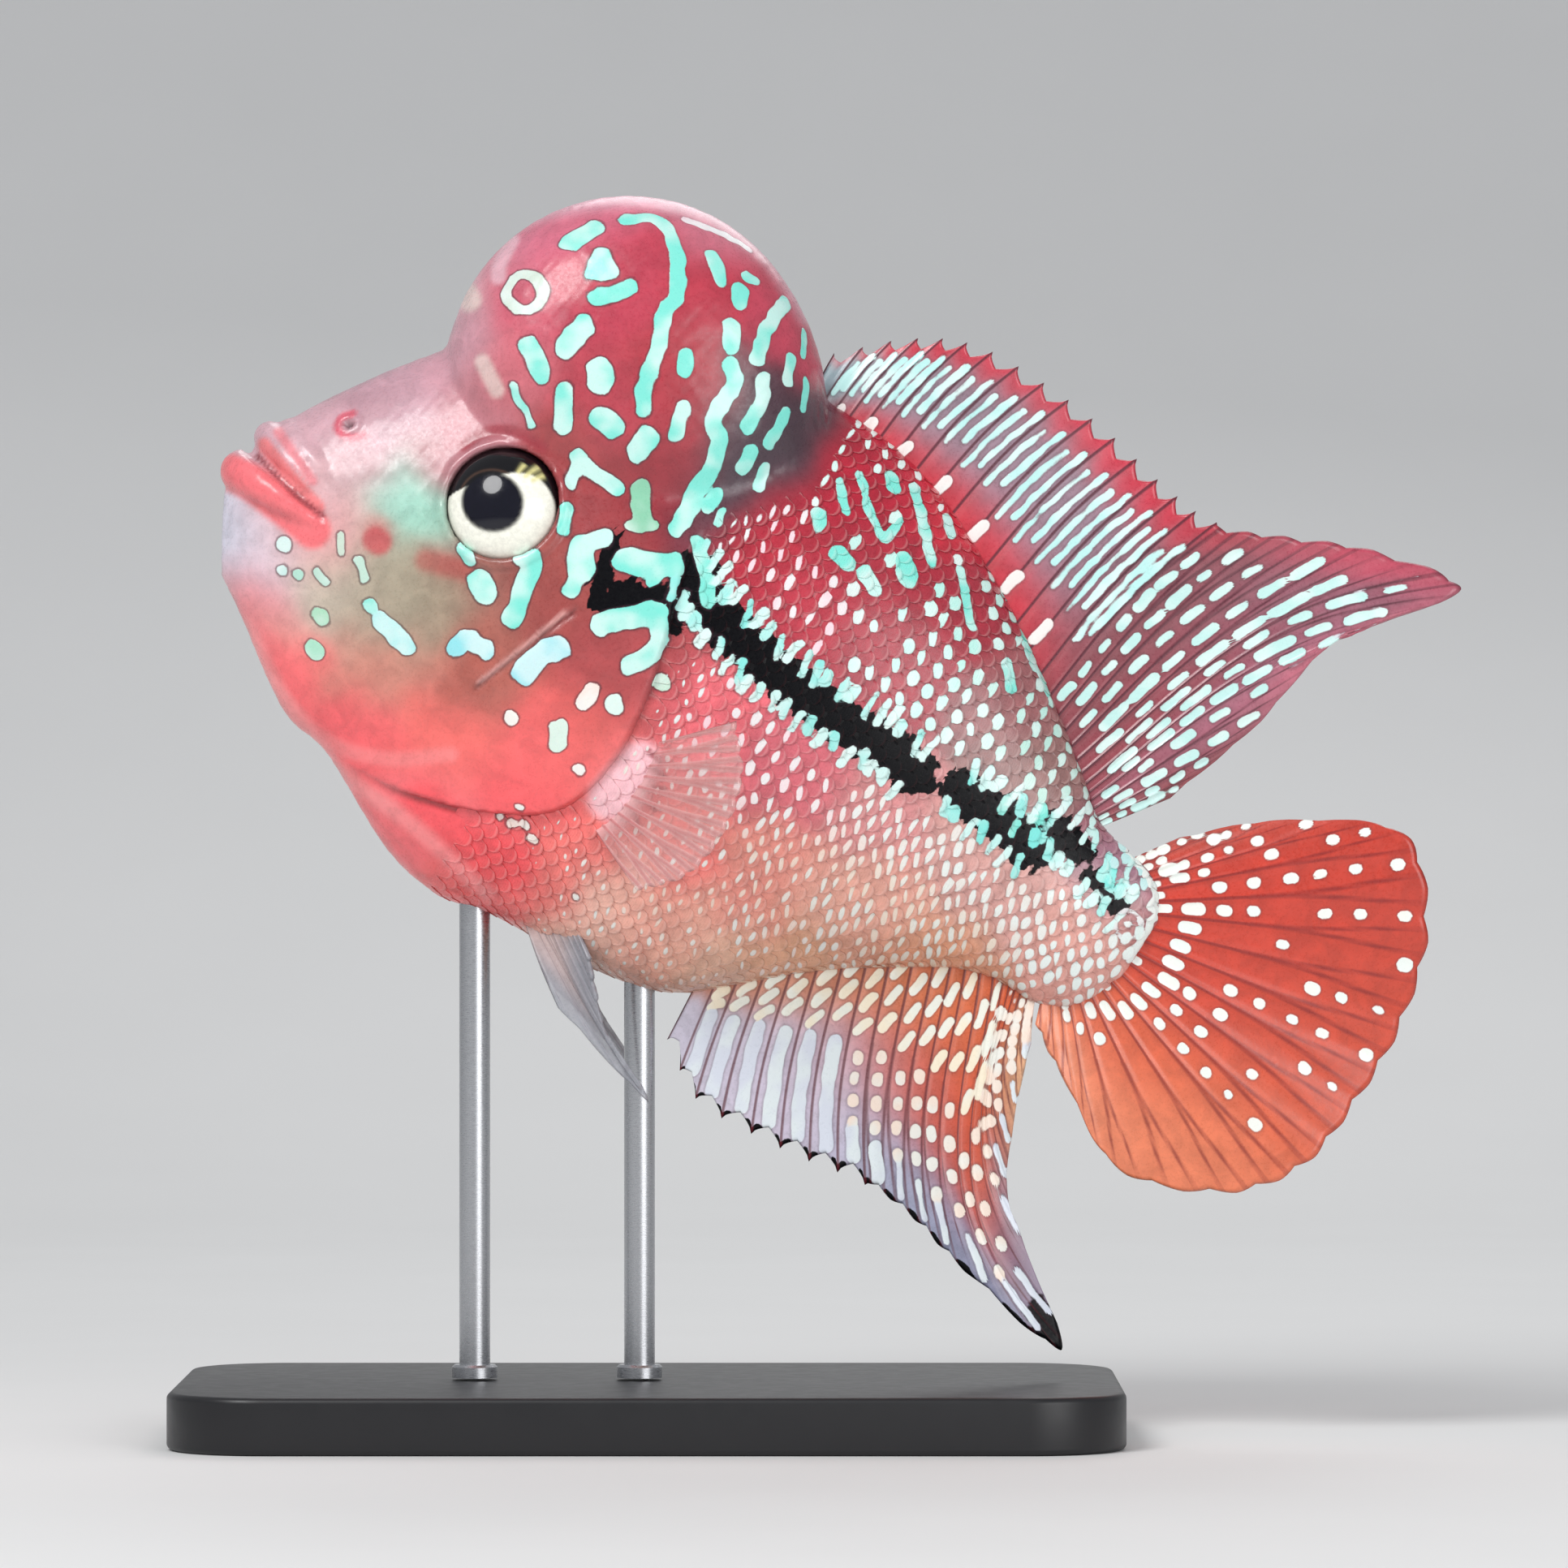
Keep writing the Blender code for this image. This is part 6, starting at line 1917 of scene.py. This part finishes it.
@dataclass(frozen=True)
class Stand:
    """Board with rounded corners and two rods up to the underside of the fish."""

    length: float = 116.0
    width: float = 66.0
    height: float = 7.0
    corner: float = 12.0
    edge: float = 0.8
    rod_radius: float = 1.9
    rod_top: float = 90.0
    gap: float = 0.3
    rods: tuple = (("front", -21.5), ("rear", -1.2))

    def board(self) -> Piece:
        """Makes the board."""
        bm = bmesh.new()
        bmesh.ops.create_cube(bm, size=1.0)
        bmesh.ops.scale(bm, vec=(self.length, self.width, self.height), verts=bm.verts)
        bmesh.ops.translate(bm, vec=(0.0, 0.0, self.height / 2), verts=bm.verts)
        half = self.height / 2
        upright = [edge for edge in bm.edges if abs(edge.verts[0].co.z - edge.verts[1].co.z) > half]
        round_off = {"affect": "EDGES", "profile": 0.5, "material": -1}
        bmesh.ops.bevel(bm, geom=upright, offset=self.corner, segments=24, **round_off)
        flat = [face for face in bm.faces if abs(face.normal.z) > 0.5]
        edges = [edge for face in flat for edge in face.edges]
        bmesh.ops.bevel(bm, geom=edges, offset=self.edge, segments=5, **round_off)
        made = link_mesh("stand_board", bm)
        made.data.set_sharp_from_angle(angle=math.radians(50))
        return made

    def rod(self, label: str, x: float) -> Piece:
        """Makes one rod, with a small collar where it stands on the board."""
        bm = bmesh.new()
        low = self.height + self.gap
        radius = self.rod_radius
        collar = ((radius + 0.9, low), (radius + 0.9, low + 1.3), (radius + 0.6, low + 1.6))
        profile = ((0.0, low), *collar, (radius, low + 1.6), (radius, self.rod_top), (0.0, self.rod_top))
        verts = [bm.verts.new((x_out, 0.0, z)) for x_out, z in profile]
        for first, second in zip(verts, verts[1:]):
            bm.edges.new((first, second))
        outline = list(bm.verts) + list(bm.edges)
        turn = {"cent": (0, 0, 0), "axis": (0, 0, 1), "angle": 2 * math.pi}
        bmesh.ops.spin(bm, geom=outline, steps=64, use_merge=True, **turn)
        bmesh.ops.remove_doubles(bm, verts=bm.verts, dist=1e-5)
        bmesh.ops.translate(bm, vec=(x, 0.0, 0.0), verts=bm.verts)
        bmesh.ops.recalc_face_normals(bm, faces=bm.faces)
        made = link_mesh(f"stand_rod_pin_{label}", bm)
        made.data.set_sharp_from_angle(angle=math.radians(40))
        return made


@dataclass(frozen=True)
class Studio:
    """Floor, lights and camera."""

    view_middle: Pair = (16.6, 80.4)
    view_width: float = 193.2
    distance: float = 1100.0

    def floor(self) -> None:
        """Pale floor that rises behind the model."""
        depth = np.linspace(-1500, 1500, 90)
        turn = np.clip((depth - 500) / 1000, 0, 1) * math.pi / 2
        rise = np.where(depth > 500, 900 * (1 - np.cos(turn)), 0.0)
        places = np.empty((90, 2, 3))
        places[:, 0] = np.stack([np.full(90, -2200.0), depth, rise], axis=1)
        places[:, 1] = np.stack([np.full(90, 2200.0), depth, rise], axis=1)
        made = link_mesh("floor", grid(2, 90, places))
        g = Graph("pale floor")
        tint = g.mix(g.noise(0.02, 2.0), (0.80, 0.80, 0.79, 1.0), (0.83, 0.83, 0.82, 1.0))
        g.shade("Base Color", tint)
        g.shade("Roughness", 0.8)
        made.data.materials.append(g.material)

    def lamp(self, name: str, place: tuple, aim: tuple, size: float, power: float) -> None:
        """Soft round lamp aimed at a place, both in millimetres."""
        data = bpy.data.lights.new(name, "AREA")
        data.shape = "DISK"
        data.size = size * MM
        data.energy = power
        made = bpy.data.objects.new(name, data)
        bpy.context.scene.collection.objects.link(made)
        made.location = Vector(place) * MM
        made.rotation_euler = (Vector(aim) - Vector(place)).to_track_quat("-Z", "Y").to_euler()

    def build(self) -> None:
        """Makes floor, lights and camera."""
        self.floor()
        aim = (10.0, 0.0, 90.0)
        self.lamp("key", (-380.0, -560.0, 720.0), aim, 420.0, 4.9)
        self.lamp("fill", (520.0, -760.0, 200.0), aim, 600.0, 3.1)
        self.lamp("rim", (120.0, 560.0, 560.0), aim, 520.0, 1.1)
        world = bpy.data.worlds.new("studio")
        world.use_nodes = True
        world.node_tree.nodes["Background"].inputs["Color"].default_value = (0.93, 0.95, 1.0, 1.0)
        world.node_tree.nodes["Background"].inputs["Strength"].default_value = 0.40
        bpy.context.scene.world = world
        data = bpy.data.cameras.new("camera")
        camera = bpy.data.objects.new("camera", data)
        bpy.context.scene.collection.objects.link(camera)
        camera.location = Vector((self.view_middle[0], -self.distance, self.view_middle[1])) * MM
        camera.rotation_euler = (math.pi / 2, 0.0, 0.0)
        data.sensor_width = 36.0
        data.lens = 36.0 * self.distance / self.view_width
        data.clip_start = 0.01
        data.clip_end = 20.0
        bpy.context.scene.camera = camera
        bpy.context.scene.view_settings.view_transform = "Standard"


def settle(piece: Piece, material: bpy.types.Material, nodes: tuple) -> None:
    """Gives a piece its material, its body and the CAD nodes it stands for."""
    piece.data.materials.clear()
    piece.data.materials.append(material)
    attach(piece, "root")
    if nodes:
        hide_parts(*nodes)
    log.info("%s: %d faces", piece.name, len(piece.data.polygons))


def main() -> None:
    """Builds the model piece by piece."""
    Studio().build()
    markings = Markings()
    skin, seats, tree = Skin().build()
    lattice = ScaleLattice(tree, markings)
    painter = Painter(tree_of(skin), markings)
    painter.paint(skin)
    settle(skin, SkinFinish("flowerhorn skin").build(), FLESH)
    coat = SkinFinish("flowerhorn scales", scaled=True, mottle=0.18).build()
    for side in Side:
        for part, span in (("front", (0.0, 84.0)), ("rear", (84.0, 200.0))):
            scales = Scales().build(f"scales_{part}_{side.name.lower()}", lattice, side, span)
            write(scales, shade=np.zeros(len(scales.data.vertices)))
            painter.paint(scales)
            settle(scales, coat, ())
    fin_finish = SkinFinish("fin membrane", rayed=True, mottle=0.14, subsurface=0.0).build()
    clear_finish = SkinFinish("clear membrane", rayed=True, mottle=0.10, subsurface=0.0, clear=True).build()
    for fin_painter, slot in median_fins():
        made = fin_painter.fin.build()
        fin_painter.paint(made)
        settle(made, fin_finish, (slot,))
    for side in Side:
        for fin_painter, slot in paired_fins(side):
            made = fin_painter.fin.build()
            fin_painter.paint(made)
            settle(made, clear_finish, (f"{slot}_{side.name.lower()}",))
    wet = EyeFinish().build()
    for side in Side:
        label = side.name.lower()
        settle(Eye().build(f"eyeball_{label}", seats[side], side), wet, (f"eye_{label}",))
    stand = Stand()
    settle(stand.board(), SatinBoard().build(), ("stand_base",))
    steel = BrushedSteel().build()
    for label, x in stand.rods:
        settle(stand.rod(label, x), steel, (f"stand_rod_{label}",))


def median_fins() -> list[tuple[FinPainter, str]]:
    """Painters of dorsal, anal and tail fin, each with its CAD node, which also names its slot."""
    dark_tips = tuple(((float(k), 1.01), (0.30, 0.045)) for k in range(1, 14))
    anal_ink = (*dark_tips, ((14.0, 1.0), (0.8, 0.12)))
    return [
        (FinPainter(DORSAL, DORSAL_GROUNDS, dorsal_marks(), (84, 28, 44), 0.85), "dorsal_fin"),
        (FinPainter(ANAL, ANAL_GROUNDS, anal_marks(), (96, 30, 40), 0.8, anal_ink), "anal_fin"),
        (FinPainter(CAUDAL, CAUDAL_GROUNDS, caudal_marks(), (128, 24, 26), 0.7), "caudal_fin"),
    ]


def paired_fins(side: Side) -> list[tuple[FinPainter, str]]:
    """Painters of the pectoral and pelvic fin of a side, each with its slot."""
    label = side.name.lower()
    reach = 1.0 if side is Side.LEFT else 0.84
    even = {"side": side.value, "ridge": 0.35}
    pectoral = Fin(f"fin_pectoral_{label}", PECTORAL_GUIDES, rays(0, 4, 11), **even)
    pelvic = Fin(f"fin_pelvic_{label}", PELVIC_GUIDES, rays(0, 4, 9), reach=reach, wave=0.4, **even)
    rose = (((5.0, 0.1), (240, 190, 190), 6.0, 0.2), ((5.0, 0.8), (236, 200, 196), 6.0, 0.5))
    grey = (((2.0, 0.2), (226, 200, 196), 3.0, 0.3), ((4.0, 0.8), (170, 172, 180), 5.0, 0.4))
    return [
        (FinPainter(pectoral, rose, [], (184, 82, 84), 0.6, clear=0.85), "pectoral_fin"),
        (FinPainter(pelvic, grey, [], (96, 84, 92), 0.5, clear=0.45), "pelvic_fin"),
    ]


if __name__ == "__main__":
    main()
